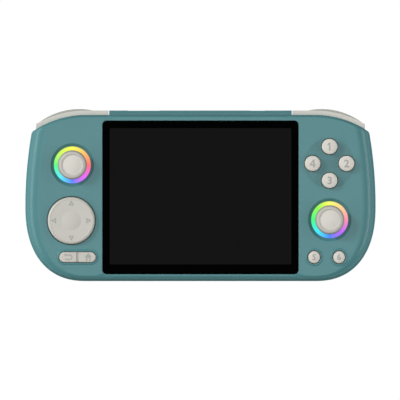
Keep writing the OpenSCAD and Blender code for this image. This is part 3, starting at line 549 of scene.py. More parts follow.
collars = [[stadium(ROCKER_C, *(ROCKER + 2 * width)) for width in (COLLAR_W, GAP)]]
for place in SMALL_KEYS.values():
    collars.append([circle(place, SMALL_R + width, 64) for width in (COLLAR_W, GAP)])
for foot, hole in collars:
    rim, crest = collar(front, foot, roll_level, COLLAR_RISE, COLLAR_EDGE)
    above.append(rim)
    rim, back = opening(front, hole, roll_level(hole(HOLE_EDGE)) + COLLAR_RISE, ROOF_Z, HOLE_EDGE)
    below.append(back)
    front.fill(crest, [rim])
print("openings through the front case:", len(below))

# %% [markdown]
# The dish of the four face buttons runs through their holes, so it can't have a rim of its own. Its depth
# is a function of the distance from its middle instead, and loose points along its edge carry the shape.
# Its faces take a darker teal, which is painted shade that the four keys cast into the dish.

# %% Face button dish
SOFT_DEPTH, SOFT_EDGE, CLEAR = 0.15, 1.3, 0.08


def face_level(flat):
    past = np.linalg.norm(flat - FACE_C[:2], axis=1) - DISH_R + SOFT_EDGE
    return FACE_Z - SOFT_DEPTH * (1 - ease(past / (2 * SOFT_EDGE)))


edge_points = np.vstack([circle(FACE_C, DISH_R, 160)(g) for g in np.linspace(-SOFT_EDGE, SOFT_EDGE, 11)])
for place in FACE_KEYS.values():
    hole = circle(place, FACE_R + GAP)
    cut(*opening(front, hole, face_level(hole(HOLE_EDGE)), ROOF_Z, HOLE_EDGE))
    away = np.linalg.norm(edge_points - place[:2], axis=1) > FACE_R + GAP + HOLE_EDGE + CLEAR
    edge_points = edge_points[away]
loose = front.ring(edge_points, face_level(edge_points))
for ring in rolled[FLAT_RING + 1 :]:
    flat = np.array([front.points[i][:2] for i in ring])
    clear = ~np.any([inside(flat, foot(2 * COLLAR_EDGE)) for foot, _ in collars], axis=0)
    loose += [i for i, ok in zip(ring, clear) if ok]
start = len(front.faces)
front.fill(rolled[FLAT_RING], above, loose)
face = front.faces[start:]
middles = np.array([np.mean([front.points[i][:2] for i in corner_ids], axis=0) for corner_ids in face])
painted_dish_shade = np.linalg.norm(middles - FACE_C[:2], axis=1) < DISH_R
# Triangles inside the dish get the darker teal, as painted shade of the keys.
front.slots[start:] = [2 if d else int(g) for d, g in zip(painted_dish_shade, grained(face))]
print("face has", len(face), "triangles,", painted_dish_shade.sum(), "of them in the dish")

# %% Inside of the front case
LEAN = {"top": 0.2, "side": 2.4, "bottom": 1.0}
cavity = case_outline(*(WALL + lean for lean in LEAN.values()))
roof, lip = front.ring(cavity, ROOF_Z), front.ring(cavity, PART_Z)
front.fill(roof, below)
front.loft([roof, lip, rolled[0]])
dress("front_case", front, [TEAL, TEAL_EDGE, TEAL_DISH_SHADE], "root", ["front_shell"])

# %% [markdown]
# ## Screen
#
# The cover glass is one slab with a polished edge. Its black print leaves a clear window, and the window is
# a separate face with its own material, so the dark grey of the switched-off display lies flush in the
# black border.

# %% Cover glass
GLASS_EDGE, GLASS_UNDER = 0.25, 0.15
VIEW_W, VIEW_H, VIEW_CORNER, VIEW_UP = 95.3, 71.5, 0.5, 0.6
glass = Skin()
pane = rounded_rectangle(GLASS_C, *GLASS_SIZE, GLASS_CORNER)
low, high = (corner[2] for corner in corners("cover_glass"))
rings = [glass.ring(pane(-GLASS_UNDER), low), glass.ring(pane(0), low + GLASS_UNDER),
         glass.ring(pane(0), high - GLASS_EDGE)]
for t in np.radians(np.linspace(18, 90, 5)):
    rings.append(glass.ring(pane(-GLASS_EDGE * (1 - math.cos(t))), high - GLASS_EDGE * (1 - math.sin(t))))
glass.loft(rings)
view = glass.ring(rounded_rectangle(GLASS_C + [0, VIEW_UP, 0], VIEW_W, VIEW_H, VIEW_CORNER)(0), high)
glass.fill(rings[-1], [view])
glass.fill(view, slot=1)
glass.fill(rings[0])
dress("cover_glass_pane", glass, [GLASS, DISPLAY], "root", ["cover_glass"])

# %% [markdown]
# ## Turned keys
#
# Sticks, buttons and the direction pad are round, so each is one profile turned about its own axis. The
# profile starts and ends on the axis, which closes the skin. A key has a rounded shoulder and a crowned
# top that catches the light; below the face its flange keeps it in the case.


# %% Turning helper
def turned(skin, place, profile, steps=96, bounds=()):
    rings = [skin.ring(circle(place, r, steps)(0), z) for r, z in profile[1:-1]]
    for a, b, (r, _) in zip(rings, rings[1:], profile[1:]):
        skin.bridge(a, b, sum(r > bound for bound in bounds))
    skin.cap(rings[0], profile[0][1])
    skin.cap(rings[-1], profile[-1][1])


def bow(centre, radius, start, end, steps):
    return [tuple(p) for p in arc(centre, radius, start, end, steps)]


def top_bow(reach, bend, top, steps):
    return bow((0, top - bend), bend, 90 - math.degrees(math.asin(reach / bend)), 90, steps)


def crown(radius, edge, rise, top, steps=12):
    reach = radius - edge
    bend = (reach**2 + rise**2) / (2 * rise)
    tilt = math.degrees(math.asin(reach / bend))
    shoulder = bow((reach, top - rise - edge), edge, 0, 90 - tilt, 6)
    return shoulder + top_bow(reach, bend, top, steps)[1:], bend


# %% Face buttons, select and start
UNDER_Z, FLANGE_Z = corners("face_button_top")[0][2], ROOF_Z - GAP
KEY_EDGE, KEY_RISE, DRAFT = 0.7, 0.42, 0.12


def round_key(name, place, radius, replaced):
    top = corners(replaced)[1][2]
    cap, bend = crown(radius - DRAFT, KEY_EDGE, KEY_RISE, top)
    skin = Skin()
    turned(skin, place, [(0, UNDER_Z), (radius + FLANGE, UNDER_Z), (radius + FLANGE, FLANGE_Z),
                         (radius, FLANGE_Z), *cap])
    dress(name, skin, [KEYS], replaced, [replaced])
    return lambda flat: top - bend + np.sqrt(bend**2 - np.sum((flat - place[:2]) ** 2, axis=1))


ROUND_KEYS = {name: (f"face_button_{name}", place, FACE_R) for name, place in FACE_KEYS.items()}
ROUND_KEYS |= {name: (f"{name}_button", place, SMALL_R) for name, place in SMALL_KEYS.items()}
key_tops = {name: round_key(f"{name}_key", place, radius, node)
            for name, (node, place, radius) in ROUND_KEYS.items()}

# %% [markdown]
# The thumb stick is a stem with a wide cap above and a dust dome below. The cap slopes down outside a fine
# groove, and inside the groove it swells again, which keeps a thumb from slipping off. Outside the groove it
# is grained for grip, and its darker beige there is painted shade of the downward slope. Its lip is grained
# more coarsely, and its still darker beige is painted shade of the steep rim.

# %% Thumb sticks
STICK_R = extent("left_stick_cap")[0] / 2 - 0.1
STICK_TOP = corners("left_stick_cap")[1][2]
PIVOT_Z = middle("left_stick_collar")[2]
GROOVE_R = STICK_R * 0.68
GROOVE = [(0.36, 0.25), (0.24, 0.34), (0.08, 0.5), (-0.08, 0.57), (-0.24, 0.56)]
RIM_Z, RIM_R = STICK_TOP - 1.75, 0.5
ROLL_R, ROLL_H = STICK_R - GROOVE_R - 0.35, STICK_TOP - 0.22 - RIM_Z
LIP_R, CROWN_R = STICK_R - 0.72, STICK_R * 2.6
DOME_R, DOME_T, DOME_START, STEM_R = 6.2, 1.0, 26, 3.2
NECK_R, NECK_Z = 1.25, STICK_TOP - 4.35
stick_profile = [
    *bow((0, PIVOT_Z), DOME_R - DOME_T, 90, DOME_START, 14),
    *bow((0, PIVOT_Z), DOME_R, DOME_START, math.degrees(math.acos(STEM_R / DOME_R)), 14),
    (STEM_R, NECK_Z - 0.25), (STEM_R + 0.15, NECK_Z + 0.35),
    *bow((STEM_R + 1.4, NECK_Z), NECK_R, 170, 100, 6),
    *bow((STICK_R - RIM_R, RIM_Z), RIM_R, -78, 0, 6),
    *[(STICK_R - ROLL_R * (1 - math.cos(a)), RIM_Z + ROLL_H * math.sin(a))
      for a in np.radians(np.linspace(8, 84, 12))],
    *[(GROOVE_R + out, STICK_TOP - down) for out, down in GROOVE],
    *top_bow(GROOVE_R - 0.4, CROWN_R, STICK_TOP, 14),
]
# Past the groove the cap takes the grip beige, and past the lip the lip beige. Both darker tones are painted
# shade.
for side, place in STICKS.items():
    stick = Skin()
    turned(stick, place, stick_profile, 128, (GROOVE_R, LIP_R))
    dress(f"{side}_thumb_stick", stick, [KEYS, GRIP_GRAIN_AND_SHADE, LIP_PAINTED_SHADE], f"{side}_stick",
          [f"{side}_stick_cap"])

# %% [markdown]
# The direction pad is a very shallow saucer with a rolled edge and a low dome in the middle. It rocks on a
# ball, so a clear gap is left all round it.

# %% Direction pad
PAD_LOW, PAD_TOP = (corner[2] for corner in corners("direction_pad"))
DOME, DOME_BEND, DOME_TOP = PAD_R * 0.435, PAD_R * 2.0, PAD_TOP + 0.15
PAD_EDGE, SAUCER_R, SAUCER_DROP, SAUCER_DEPTH = 1.3, PAD_R - 1.4, 0.12, 0.25
SKIRT_R, SKIRT_Z, SOCKET_R, SOCKET_Z = PAD_R + 1.4, PAD_LOW + 1.2, 1.55, PAD_LOW + 2.0


def saucer(r):
    return PAD_TOP - SAUCER_DROP - SAUCER_DEPTH * (SAUCER_R - r) / (SAUCER_R - DOME)


pad_profile = [
    (0, SOCKET_Z + 0.6), (SOCKET_R, SOCKET_Z), (SOCKET_R, PAD_LOW),
    (SKIRT_R, PAD_LOW), (SKIRT_R, SKIRT_Z), (PAD_R, SKIRT_Z),
    *bow((PAD_R - PAD_EDGE, PAD_TOP - PAD_EDGE), PAD_EDGE, 0, 86, 10),
    (SAUCER_R + 0.06, PAD_TOP - 0.05), (SAUCER_R, PAD_TOP - SAUCER_DROP),
    *[(r, saucer(r)) for r in np.linspace(SAUCER_R - 0.5, DOME + 0.25, 7)],
    (DOME + 0.05, saucer(DOME) - 0.02),
    *top_bow(DOME - 0.15, DOME_BEND, DOME_TOP, 10),
]
pad = Skin()
turned(pad, PAD_C, pad_profile, 128)
dress("direction_disc", pad, [PAD], "direction_pad", ["direction_pad"])

# %% [markdown]
# Back and home share one rocker. It is a pill with a rounded edge and a shallow channel across its middle.
# The channel is made by lowering a band of points, so the pill is cut into strips across its length first.
# Its floor takes the same grey as the marks, which there is painted shade of the channel, not print.

# %% Back and home rocker
ROCKER_LOW, ROCKER_TOP = (corner[2] for corner in corners("back_home_rocker"))
CHANNEL, CHANNEL_DEPTH, CHANNEL_EDGE, PLAIN_X = 0.72, 0.2, 0.15, 1.2
ROCKER_EDGE, ROCKER_FOOT, ROCKER_STEP = 0.6, ROCKER_LOW + 0.8, FLANGE_Z - 0.5


def channel(x):
    past = np.abs(x - ROCKER_C[0]) - CHANNEL + CHANNEL_EDGE
    return -CHANNEL_DEPTH * (1 - ease(past / (2 * CHANNEL_EDGE)))


def rocker_outline(grow):
    reach, r = (ROCKER[0] - ROCKER[1]) / 2, ROCKER[1] / 2 + grow
    bands = CHANNEL + np.linspace(-CHANNEL_EDGE, CHANNEL_EDGE, 7)
    half = np.concatenate([bands, np.linspace(PLAIN_X, reach, 9)])
    xs = np.concatenate([-half[::-1], half])
    top = np.column_stack([xs, np.full(len(xs), r)])
    right = arc((reach, 0), r, 90, -90, 32)[1:-1]
    return ROCKER_C[:2] + np.vstack([top, right, -top, -right])


rocker = Skin()
levels = [(ROCKER_FLANGE, ROCKER_FOOT), (ROCKER_FLANGE, ROCKER_STEP), (0.0, ROCKER_STEP)]
levels += [(-ROCKER_EDGE * (1 - math.cos(t)), ROCKER_TOP - ROCKER_EDGE * (1 - math.sin(t)))
           for t in np.radians(np.linspace(0, 90, 8))]
rings = []
for grow, z in levels:
    flat = rocker_outline(grow)
    rings.append(rocker.ring(flat, z + (channel(flat[:, 0]) if z > FACE_Z - 1 else 0)))
rocker.loft(rings)
rocker.fill(rings[0])
rocker.fill(rings[-1])
# Faces on the channel floor get the grey of the marks, as painted shade of the channel.
for i, face in enumerate(rocker.faces):
    x, _, z = np.mean([rocker.points[v] for v in face], axis=0)
    rocker.slots[i] = int(abs(x - ROCKER_C[0]) < CHANNEL - 0.05 and z > FACE_Z)
dress("back_home_key", rocker, [PAD, INK_AND_CHANNEL_SHADE], "back_home_rocker", ["back_home_rocker"])

# %% [markdown]
# ## Light rings
#
# Each stick stands in a ring of milky acrylic, lit from below by a ring of coloured lamps. The hues run
# round the ring: yellow at the top, then clockwise through orange, red, magenta, blue, cyan and green. The
# gradient turns about the stick, so its middle is moved there before the radial texture reads it. The right
# ring's lamps are set a little further round and purer. The outer edge of the acrylic is masked, so no
# light leaks there.

# %% Light ring material
HUES = {"left": ["#44ff77", "#44eeff", "#4477ff", "#ee55ff", "#ff6666", "#ffbb55", "#ffff44", "#ccff44"],
        "right": ["#00ff77", "#00eeff", "#2277ff", "#bb55ff", "#ff88aa", "#ffcc88", "#ffff55", "#88ff22"]}
MASK_FROM, MASK_FULL, RING_GLOW = 9.55, 9.85, 0.95


def lit_ring(name, place, hues):
    material, tree, shader = new_material(name, {"Roughness": 0.35, "Base Color": linear("#2a2a2a")})
    moved = add(tree, "ShaderNodeMapping",
                {"Location": [-place[0] * MM, -place[1] * MM, 0], "Scale": [1, 1, 0]},
                {"Vector": add(tree, "ShaderNodeTexCoord").outputs["Object"]}).outputs["Vector"]
    far = add(tree, "ShaderNodeVectorMath", {"operation": "LENGTH"}, {0: moved}).outputs["Value"]
    glow = add(tree, "ShaderNodeMapRange", {"From Min": MASK_FROM * MM, "From Max": MASK_FULL * MM,
                                            "To Min": RING_GLOW, "To Max": 0.0}, {"Value": far})
    turn = add(tree, "ShaderNodeTexGradient", {"gradient_type": "RADIAL"}, {"Vector": moved})
    ramp = add(tree, "ShaderNodeValToRGB", {}, {"Fac": turn.outputs["Fac"]})
    stops = ramp.color_ramp.elements
    for i, code in enumerate([*hues, hues[0]]):
        stop = stops[0] if i == 0 else stops[-1] if i == len(hues) else stops.new(i / len(hues))
        stop.color = linear(code)
    tree.links.new(ramp.outputs["Color"], shader.inputs["Emission Color"])
    tree.links.new(glow.outputs["Result"], shader.inputs["Emission Strength"])
    return material


for side, place in STICKS.items():
    coat(frame["nodes"][f"{side}_light_ring"].data, lit_ring(f"lit_milky_acrylic_{side}", place, HUES[side]))
print("light rings have", len(HUES["left"]), "hues each")

# %% [markdown]
# ## Rear case, bumpers, triggers and top keys
#
# These pieces already have their main radii in CAD. Each is shown as a welded copy of its solid: shared
# points are merged and flat areas joined, so that smooth shading and a narrow bevel can follow the edges.
# The triggers get a darker beige than the bumpers, which is painted shade, as they sit behind them.

# %% Welded copies
WELD_MM, FLAT_DEG = 0.002, 0.4


def welded(name, node, material, body, bevel_mm=0.0):
    mesh = frame["nodes"][node].data.copy()
    mesh.name = name
    work = bmesh.new()
    work.from_mesh(mesh)
    bmesh.ops.remove_doubles(work, verts=work.verts, dist=WELD_MM * MM)
    bmesh.ops.dissolve_limit(work, angle_limit=math.radians(FLAT_DEG), verts=work.verts, edges=work.edges)
    work.to_mesh(mesh)
    work.free()
    coat(mesh, material)
    mesh.polygons.foreach_set("material_index", [0] * len(mesh.polygons))
    show(name, mesh, WELD_DEG, body, [node], bevel_mm)


welded("rear_case", "rear_shell", TEAL_REAR, "root")
for side in BOTH:
    welded(f"{side}_bumper_key", f"{side}_bumper", BUMPERS, f"{side}_bumper", 0.35)
    # The triggers take the darker beige, painted shade behind the bumpers.
    welded(f"{side}_trigger_key", f"{side}_trigger", TRIGGERS_PAINTED_SHADE, f"{side}_trigger", 0.3)
welded("power_key", "power_button", TEAL_REAR, "power_button", 0.25)
welded("volume_key", "volume_rocker", TEAL_REAR, "volume_rocker", 0.25)
print("welded copies ready")

# %% [markdown]
# ## Marks on the keys
#
# The keys carry pad-printed marks: plain numerals on the round keys, arrowheads on the direction pad, and a
# turned-back arrow and a house on the rocker. Pad printing lays a thin film of ink over the crown of a key,
# so each mark is a closed skin that follows the surface: its outline is filled with a grid of points, and
# every point takes the height of the key below it. The curved numerals are outlines of Blender's own
# font, made a little bolder; the 1 and the 4 have straight strokes and are drawn here.

# %% Printing helpers
INK_T, SUNK, GRID, BOLD = 0.03, 0.1, 0.35, 0.13


def resampled(loop):
    points = []
    for a, b in zip(loop, np.roll(loop, -1, axis=0)):
        count = max(1, math.ceil(np.linalg.norm(b - a) / GRID))
        points += [a + (b - a) * i / count for i in range(count)]
    return np.array(points)


def print_mark(skin, loops, level):
    outer, *holes = [resampled(loop) for loop in loops]
    low, high = outer.min(axis=0), outer.max(axis=0)
    columns, rows = (np.arange(low[i] + GRID / 2, high[i], GRID) for i in (0, 1))
    grid = np.stack(np.meshgrid(columns, rows), axis=-1).reshape(-1, 2)
    border = np.vstack([outer, *holes])
    keep = inside(grid, outer) & (np.linalg.norm(grid[:, None] - border, axis=2).min(axis=1) > 0.4 * GRID)
    for hole in holes:
        keep &= ~inside(grid, hole)
    sides = []
    for lift in (INK_T, -SUNK):
        rings = [skin.ring(loop, level(loop) + lift) for loop in (outer, *holes)]
        skin.fill(rings[0], rings[1:], skin.ring(grid[keep], level(grid[keep]) + lift))
        sides.append(rings)
    for a, b in zip(*sides):
        skin.bridge(a, b)


def thickened(loop, by):
    before, after = loop - np.roll(loop, 1, axis=0), np.roll(loop, -1, axis=0) - loop
    turns = [np.column_stack([d[:, 1], -d[:, 0]]) / np.linalg.norm(d, axis=1)[:, None]
             for d in (before, after)]
    x, y = loop[:, 0], loop[:, 1]
    way = np.sign(np.sum(x * np.roll(y, -1) - np.roll(x, -1) * y))
    return loop + way * by * (turns[0] + turns[1]) / (1 + np.sum(turns[0] * turns[1], axis=1))[:, None]


FIGURE_H, SMALL_FIGURE_H = 4.1, 3.2
DRAWN = {
    "1": [[(0.35, -2.05), (0.35, 2.05), (-0.2, 2.05), (-1.15, 1.25), (-1.15, 0.45), (-0.35, 1.05),
           (-0.35, -2.05)]],
    "4": [[(0.95, -2.05), (0.95, -1.1), (1.45, -1.1), (1.45, -0.45), (0.95, -0.45), (0.95, 2.05), (0.2, 2.05),
           (-1.6, -0.5), (-1.6, -1.1), (0.25, -1.1), (0.25, -2.05)],
          [(0.25, -0.45), (0.25, 0.95), (-0.75, -0.45)]],
}


def numeral(figure, height):
    if figure in DRAWN:
        return [np.array(loop) * height / FIGURE_H for loop in DRAWN[figure]]
    letter = bpy.data.curves.new("numeral", "FONT")
    letter.body, letter.resolution_u = figure, 3
    holder = linked("numeral", letter)
    flat = bpy.data.meshes.new_from_object(holder.evaluated_get(bpy.context.evaluated_depsgraph_get()))
    work = bmesh.new()
    work.from_mesh(flat)
    bmesh.ops.remove_doubles(work, verts=work.verts, dist=1e-5)
    border = {e for e in work.edges if len(e.link_faces) == 1}
    loops = []
    while border:
        edge = border.pop()
        loop, last = [edge.verts[0]], edge.verts[1]
        while last is not loop[0]:
            loop.append(last)
            edge = next(e for e in last.link_edges if e in border)
            border.remove(edge)
            last = edge.other_vert(last)
        loops.append(np.array([v.co.xy for v in loop]))
    work.free()
    bpy.data.objects.remove(holder)
    bpy.data.curves.remove(letter)
    bpy.data.meshes.remove(flat)
    loops.sort(key=lambda loop: -np.ptp(loop[:, 1]))
    low, high = loops[0].min(axis=0), loops[0].max(axis=0)
    loops = [(loop - (low + high) / 2) * (height - 2 * BOLD) / (high - low)[1] for loop in loops]
    return [thickened(loop, BOLD if i == 0 else -BOLD) for i, loop in enumerate(loops)]


print("numeral 6 has", len(numeral("6", FIGURE_H)), "outlines")

# %% Numerals on the round keys
FIGURES = {"top": "1", "right": "2", "bottom": "3", "left": "4", "select": "5", "start": "6"}
for name, figure in FIGURES.items():
    node, place, _ = ROUND_KEYS[name]
    loops = numeral(figure, SMALL_FIGURE_H if name in SMALL_KEYS else FIGURE_H)
    mark = Skin()
    print_mark(mark, [loop + place[:2] for loop in loops], key_tops[name])
    dress(f"{name}_numeral", mark, [INK_AND_CHANNEL_SHADE], node)

# %% [markdown]
# The arrowheads of the direction pad are outlined and point outwards, a quarter turn apart. The turned-back
# arrow is one outline that runs round the bend and back, and the house is one outline with a doorway.

# %% Arrowheads and rocker signs
ARROW_R, ARROW_W, ARROW_H, ARROW_LINE = 9.3, 3.0, 2.7, 0.55
arrowhead = np.array([[ARROW_H / 2, 0], [-ARROW_H / 2, ARROW_W / 2], [-ARROW_H / 2, -ARROW_W / 2]])
marks = Skin()
for turn in np.radians([0, 90, 180, 270]):
    spin = np.array([[math.cos(turn), math.sin(turn)], [-math.sin(turn), math.cos(turn)]])
    edge = (arrowhead + [ARROW_R, 0]) @ spin + PAD_C[:2]
    print_mark(marks, [edge, thickened(edge, -ARROW_LINE)],
               lambda flat: saucer(np.linalg.norm(flat - PAD_C[:2], axis=1)))
dress("direction_arrowheads", marks, [INK_AND_CHANNEL_SHADE], "direction_pad")

BEND, LINE, BEND_X, BARB, BARB_X, TAIL_X, TIP_X = 1.1, 0.32, 0.85, 0.75, -1.05, -1.4, -2.1
back_arrow = np.vstack([
    [[TIP_X, BEND], [BARB_X, BEND + BARB], [BARB_X, BEND + LINE]],
    arc((BEND_X, 0), BEND + LINE, 90, -90, 16),
    [[TAIL_X, -BEND - LINE], [TAIL_X, -BEND + LINE]],
    arc((BEND_X, 0), BEND - LINE, -90, 90, 16),
    [[BARB_X, BEND - LINE], [BARB_X, BEND - BARB]],
])
right_half = np.array([[0, 1.85], [1.75, 0.15], [1.15, 0.15], [1.15, -1.85], [0.45, -1.85], [0.45, -0.35]])
house = np.vstack([right_half, right_half[:0:-1] * [-1, 1]])
marks = Skin()
for sign, size, x in ((back_arrow, 1.05, -5.0), (house, 1.1, 5.6)):
    print_mark(marks, [sign * size + ROCKER_C[:2] + [x, 0]], lambda flat: np.full(len(flat), ROCKER_TOP))
dress("rocker_signs", marks, [INK_AND_CHANNEL_SHADE], "back_home_rocker")

# %% [markdown]
# ## Case screws
#
# The same screw holds the case at every post, so it is made once by a Geometry Nodes tree. The tree joins a
# tapered head and a shank, cuts a cross recess into the head, and stands a copy on every point it is given.
# The points and the sizes are read from the CAD screws. The heads look down, towards the rear of the case.

# %% Screw tree
TAPER, RECESS = 0.88, 1.2


def screw_tree():
    tree = bpy.data.node_groups.new("cross_recess_screws", "GeometryNodeTree")
    lengths = ["Head radius", "Head height", "Shank radius", "Shank length", "Slot width"]
    inputs = {"Places": "Geometry", **{length: "Float" for length in lengths}, "Finish": "Material"}
    for label, kind in inputs.items():
        tree.interface.new_socket(label, in_out="INPUT", socket_type=f"NodeSocket{kind}")
    tree.interface.new_socket("Screws", in_out="OUTPUT", socket_type="NodeSocketGeometry")
    given = add(tree, "NodeGroupInput").outputs

    def raised(shape, height):
        shift = add(tree, "ShaderNodeCombineXYZ", {}, {"Z": height})
        return add(tree, "GeometryNodeTransform", {},
                   {"Geometry": shape.outputs["Mesh"], "Translation": shift.outputs[0]}).outputs[0]

    radius, height, length = given["Head radius"], given["Head height"], given["Shank length"]
    half, down = maths(tree, "MULTIPLY", height, 0.5), maths(tree, "MULTIPLY", height, -1.0)
    narrow = maths(tree, "MULTIPLY", radius, TAPER)
    head = add(tree, "GeometryNodeMeshCone", {"Vertices": 48},
               {"Radius Top": radius, "Radius Bottom": narrow, "Depth": height})
    shank = add(tree, "GeometryNodeMeshCylinder", {"Vertices": 32},
                {"Radius": given["Shank radius"], "Depth": maths(tree, "ADD", length, half)})
    shank_z = maths(tree, "MULTIPLY", maths(tree, "SUBTRACT", length, half), 0.5)
    joined = add(tree, "GeometryNodeMeshBoolean", {"operation": "UNION", "solver": "EXACT"})
    for part in (raised(head, down), raised(shank, shank_z)):
        tree.links.new(part, joined.inputs["Mesh 2"])
    screw, slot, long = joined.outputs["Mesh"], given["Slot width"], maths(tree, "MULTIPLY", radius, RECESS)
    for x, y, depth in ((long, slot, 1.1), (slot, long, 1.0)):
        size = add(tree, "ShaderNodeCombineXYZ", {},
                   {"X": x, "Y": y, "Z": maths(tree, "MULTIPLY", height, depth)})
        bar = add(tree, "GeometryNodeMeshCube", {}, {"Size": size.outputs[0]})
        recess = add(tree, "GeometryNodeMeshBoolean", {"operation": "DIFFERENCE", "solver": "EXACT"},
                     {"Mesh 1": screw})
        tree.links.new(raised(bar, down), recess.inputs["Mesh 2"])
        screw = recess.outputs["Mesh"]
    copies = add(tree, "GeometryNodeInstanceOnPoints", {}, {"Points": given["Places"], "Instance": screw})
    real = add(tree, "GeometryNodeRealizeInstances", {}, {"Geometry": copies.outputs["Instances"]})
    coated = add(tree, "GeometryNodeSetMaterial", {},
                 {"Geometry": real.outputs["Geometry"], "Material": given["Finish"]})
    add(tree, "NodeGroupOutput", {}, {"Screws": coated.outputs["Geometry"]})
    return tree


# %% Screws at the case posts
SCREW_ROOM, SLOT_W = 6, 0.6
node = frame["nodes"]["case_screws"]
unsorted = np.array([node.matrix_world @ v.co for v in node.data.vertices]) / MM
levels = np.unique(unsorted[:, 2].round(2))
seats = []
while len(unsorted):
    near = np.linalg.norm(unsorted[:, :2] - unsorted[0, :2], axis=1) < SCREW_ROOM
    one, unsorted = unsorted[near], unsorted[~near]
    centre = (one.min(axis=0) + one.max(axis=0)) / 2
    away = np.linalg.norm(one[:, :2] - centre[:2], axis=1)
    seats.append((*centre[:2], levels[1]))
given = {"Head radius": away.max(), "Head height": levels[1] - levels[0],
         "Shank radius": away[one[:, 2] > levels[-1] - 0.01].max(),
         "Shank length": levels[-1] - levels[1], "Slot width": SLOT_W}
places = bpy.data.meshes.new("screw_places")
places.from_pydata([tuple(c * MM for c in seat) for seat in seats], [], [])
holder = linked("screw_places", places)
growing = holder.modifiers.new("screws", "NODES")
growing.node_group = screw_tree()
for socket in growing.node_group.interface.items_tree:
    if socket.in_out == "INPUT" and socket.name in given:
        growing[socket.identifier] = float(given[socket.name] * MM)
    elif socket.in_out == "INPUT" and socket.name == "Finish":
        growing[socket.identifier] = BLACK_STEEL
screws = bpy.data.meshes.new_from_object(holder.evaluated_get(bpy.context.evaluated_depsgraph_get()))
holder.modifiers.remove(growing)
bpy.data.objects.remove(holder)
show("case_screw_set", screws, SCREW_DEG, "root", ["case_screws"])
print(len(seats), "screws,", len(screws.polygons), "faces")

# %% [markdown]
# ## Silicone membranes
#
# Under the keys lie sheets of silicone with a hollow dome for each key. A pressed key folds its dome, and the
# dome springs back when the thumb lets go. The sheet is flat, with a hole for every dome. Each dome is turned
# like the keys, as a piece of its own.

# %% Membrane helpers
SHEET_T, SHEET_EDGE = 0.7, 0.15
DOME_FOOT, DOME_WALL, DOME_ROOF, DOME_ROUND, DOME_PLAY = 0.6, 0.5, 0.6, 0.25, 0.03
JOINTS = {joint["name"]: joint for joint in frame["joints"]}


def silicone_sheet(name, node, outline, holes, post=None, post_top=0.0):
    low, skin, sides = corners(node)[0][2], Skin(), []
    for z, edge in ((low, 0.0), (low + SHEET_T, SHEET_EDGE)):
        rings = [skin.ring(outline(-edge), z), *(skin.ring(hole(0), z) for hole in holes)]
        stands = [skin.ring(post(0), z)] if post and edge else []
        skin.fill(rings[0], rings[1:] + stands)
        sides.append(rings)
    for a, b in zip(*sides):
        skin.bridge(a, b)
    for foot in stands:
        tip = skin.ring(post(0), post_top)
        skin.bridge(foot, tip)
        skin.cap(tip, post_top)
    dress(name, skin, [RUBBER], "root", [node])


def dome_travel(joint, lever):
    if lever is None:
        return JOINTS[joint]["range_m"][1] / MM
    return lever * math.sin(math.radians(JOINTS[joint]["range_deg"][1]))


def silicone_dome(name, node, place, radius, top):
    low, top, foot = corners(node)[0][2], top - DOME_PLAY, radius + DOME_FOOT
    ceiling, hip, skin = top - DOME_ROOF, low + SHEET_T, Skin()
    turned(skin, place, [
        (0, ceiling), (radius - DOME_WALL, ceiling), (foot - DOME_WALL, hip - DOME_ROUND),
        (foot - DOME_WALL, low), (foot, low), (foot, hip),
        (radius, min(hip + 2 * DOME_WALL, top - DOME_ROUND)),
        *bow((radius - DOME_ROUND, top - DOME_ROUND), DOME_ROUND, 0, 90, 4), (0, top),
    ], 64)
    piece = dress(name, skin, [RUBBER], "root", [node])
    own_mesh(piece)
    return circle(place, foot, 64)


# %% Membranes of the round keys
FACE_INSET, SMALL_INSET = 1.0, 0.9
small_sheet = stadium(middle("select_start_membrane"), *extent("select_start_membrane")[:2])
for sheet, keys, radius, joint, outline in (
    ("face", FACE_KEYS, FACE_R - FACE_INSET, "face_{}_press", circle(FACE_C, DISH_R)),
    ("select_start", SMALL_KEYS, SMALL_R - SMALL_INSET, "{}_press", small_sheet),
):
    node = f"{sheet}_membrane"
    holes = [silicone_dome(f"{name}_dome", node, place, radius, UNDER_Z)
             for name, place in keys.items()]
    silicone_sheet(f"{sheet}_sheet", node, outline, holes)

# %% [markdown]
# The rocker and the direction pad tilt, so a dome goes down by its distance from the pivot times the sine of
# the tilt. The rocker stands on a post between its two domes. The pad tilts both ways, so its domes keep a
# little play for the other way, and its sheet leaves room for its ball.

# %% Membranes of the rocker and the direction pad
POST_R, POST_PLAY, SHEET_RIM, BALL_ROOM, DOME_INSET = 1.0, 0.1, 1.0, 1.0, 4.0
reach, radius = ROCKER[0] / 3, ROCKER[1] / 2 - 0.5
holes = [silicone_dome(f"{name}_dome", "back_home_membrane", ROCKER_C + [way * reach, 0, 0], radius, UNDER_Z) for name, way in (("back", -1), ("home", 1))]
silicone_sheet("back_home_sheet", "back_home_membrane", stadium(ROCKER_C, *(ROCKER + SHEET_RIM)), holes,
               circle(ROCKER_C, POST_R, 32), UNDER_Z - POST_PLAY)

sheet_r = extent("direction_membrane")[0] / 2
reach, radius = sheet_r - DOME_INSET, sheet_r / 5
top = PAD_LOW - dome_travel("direction_updown", radius)
holes = [circle(PAD_C, extent("direction_pivot")[0] / 2 + BALL_ROOM)]
for name, way, joint in (("up", (0, 1), "updown"), ("right", (1, 0), "sideways"),
                         ("down", (0, -1), "updown"), ("left", (-1, 0), "sideways")):
    place = PAD_C[:2] + reach * np.array(way)
    holes.append(silicone_dome(f"direction_{name}_dome", "direction_membrane", place, radius, top))
silicone_sheet("direction_sheet", "direction_membrane", circle(PAD_C, sheet_r), holes)

# %% [markdown]
# ## Pieces inside
#
# Boards, pins and the stick gimbals show through gaps, and they show at once when someone takes the case
# apart. Their CAD shapes are right, so they only get their own finishes.

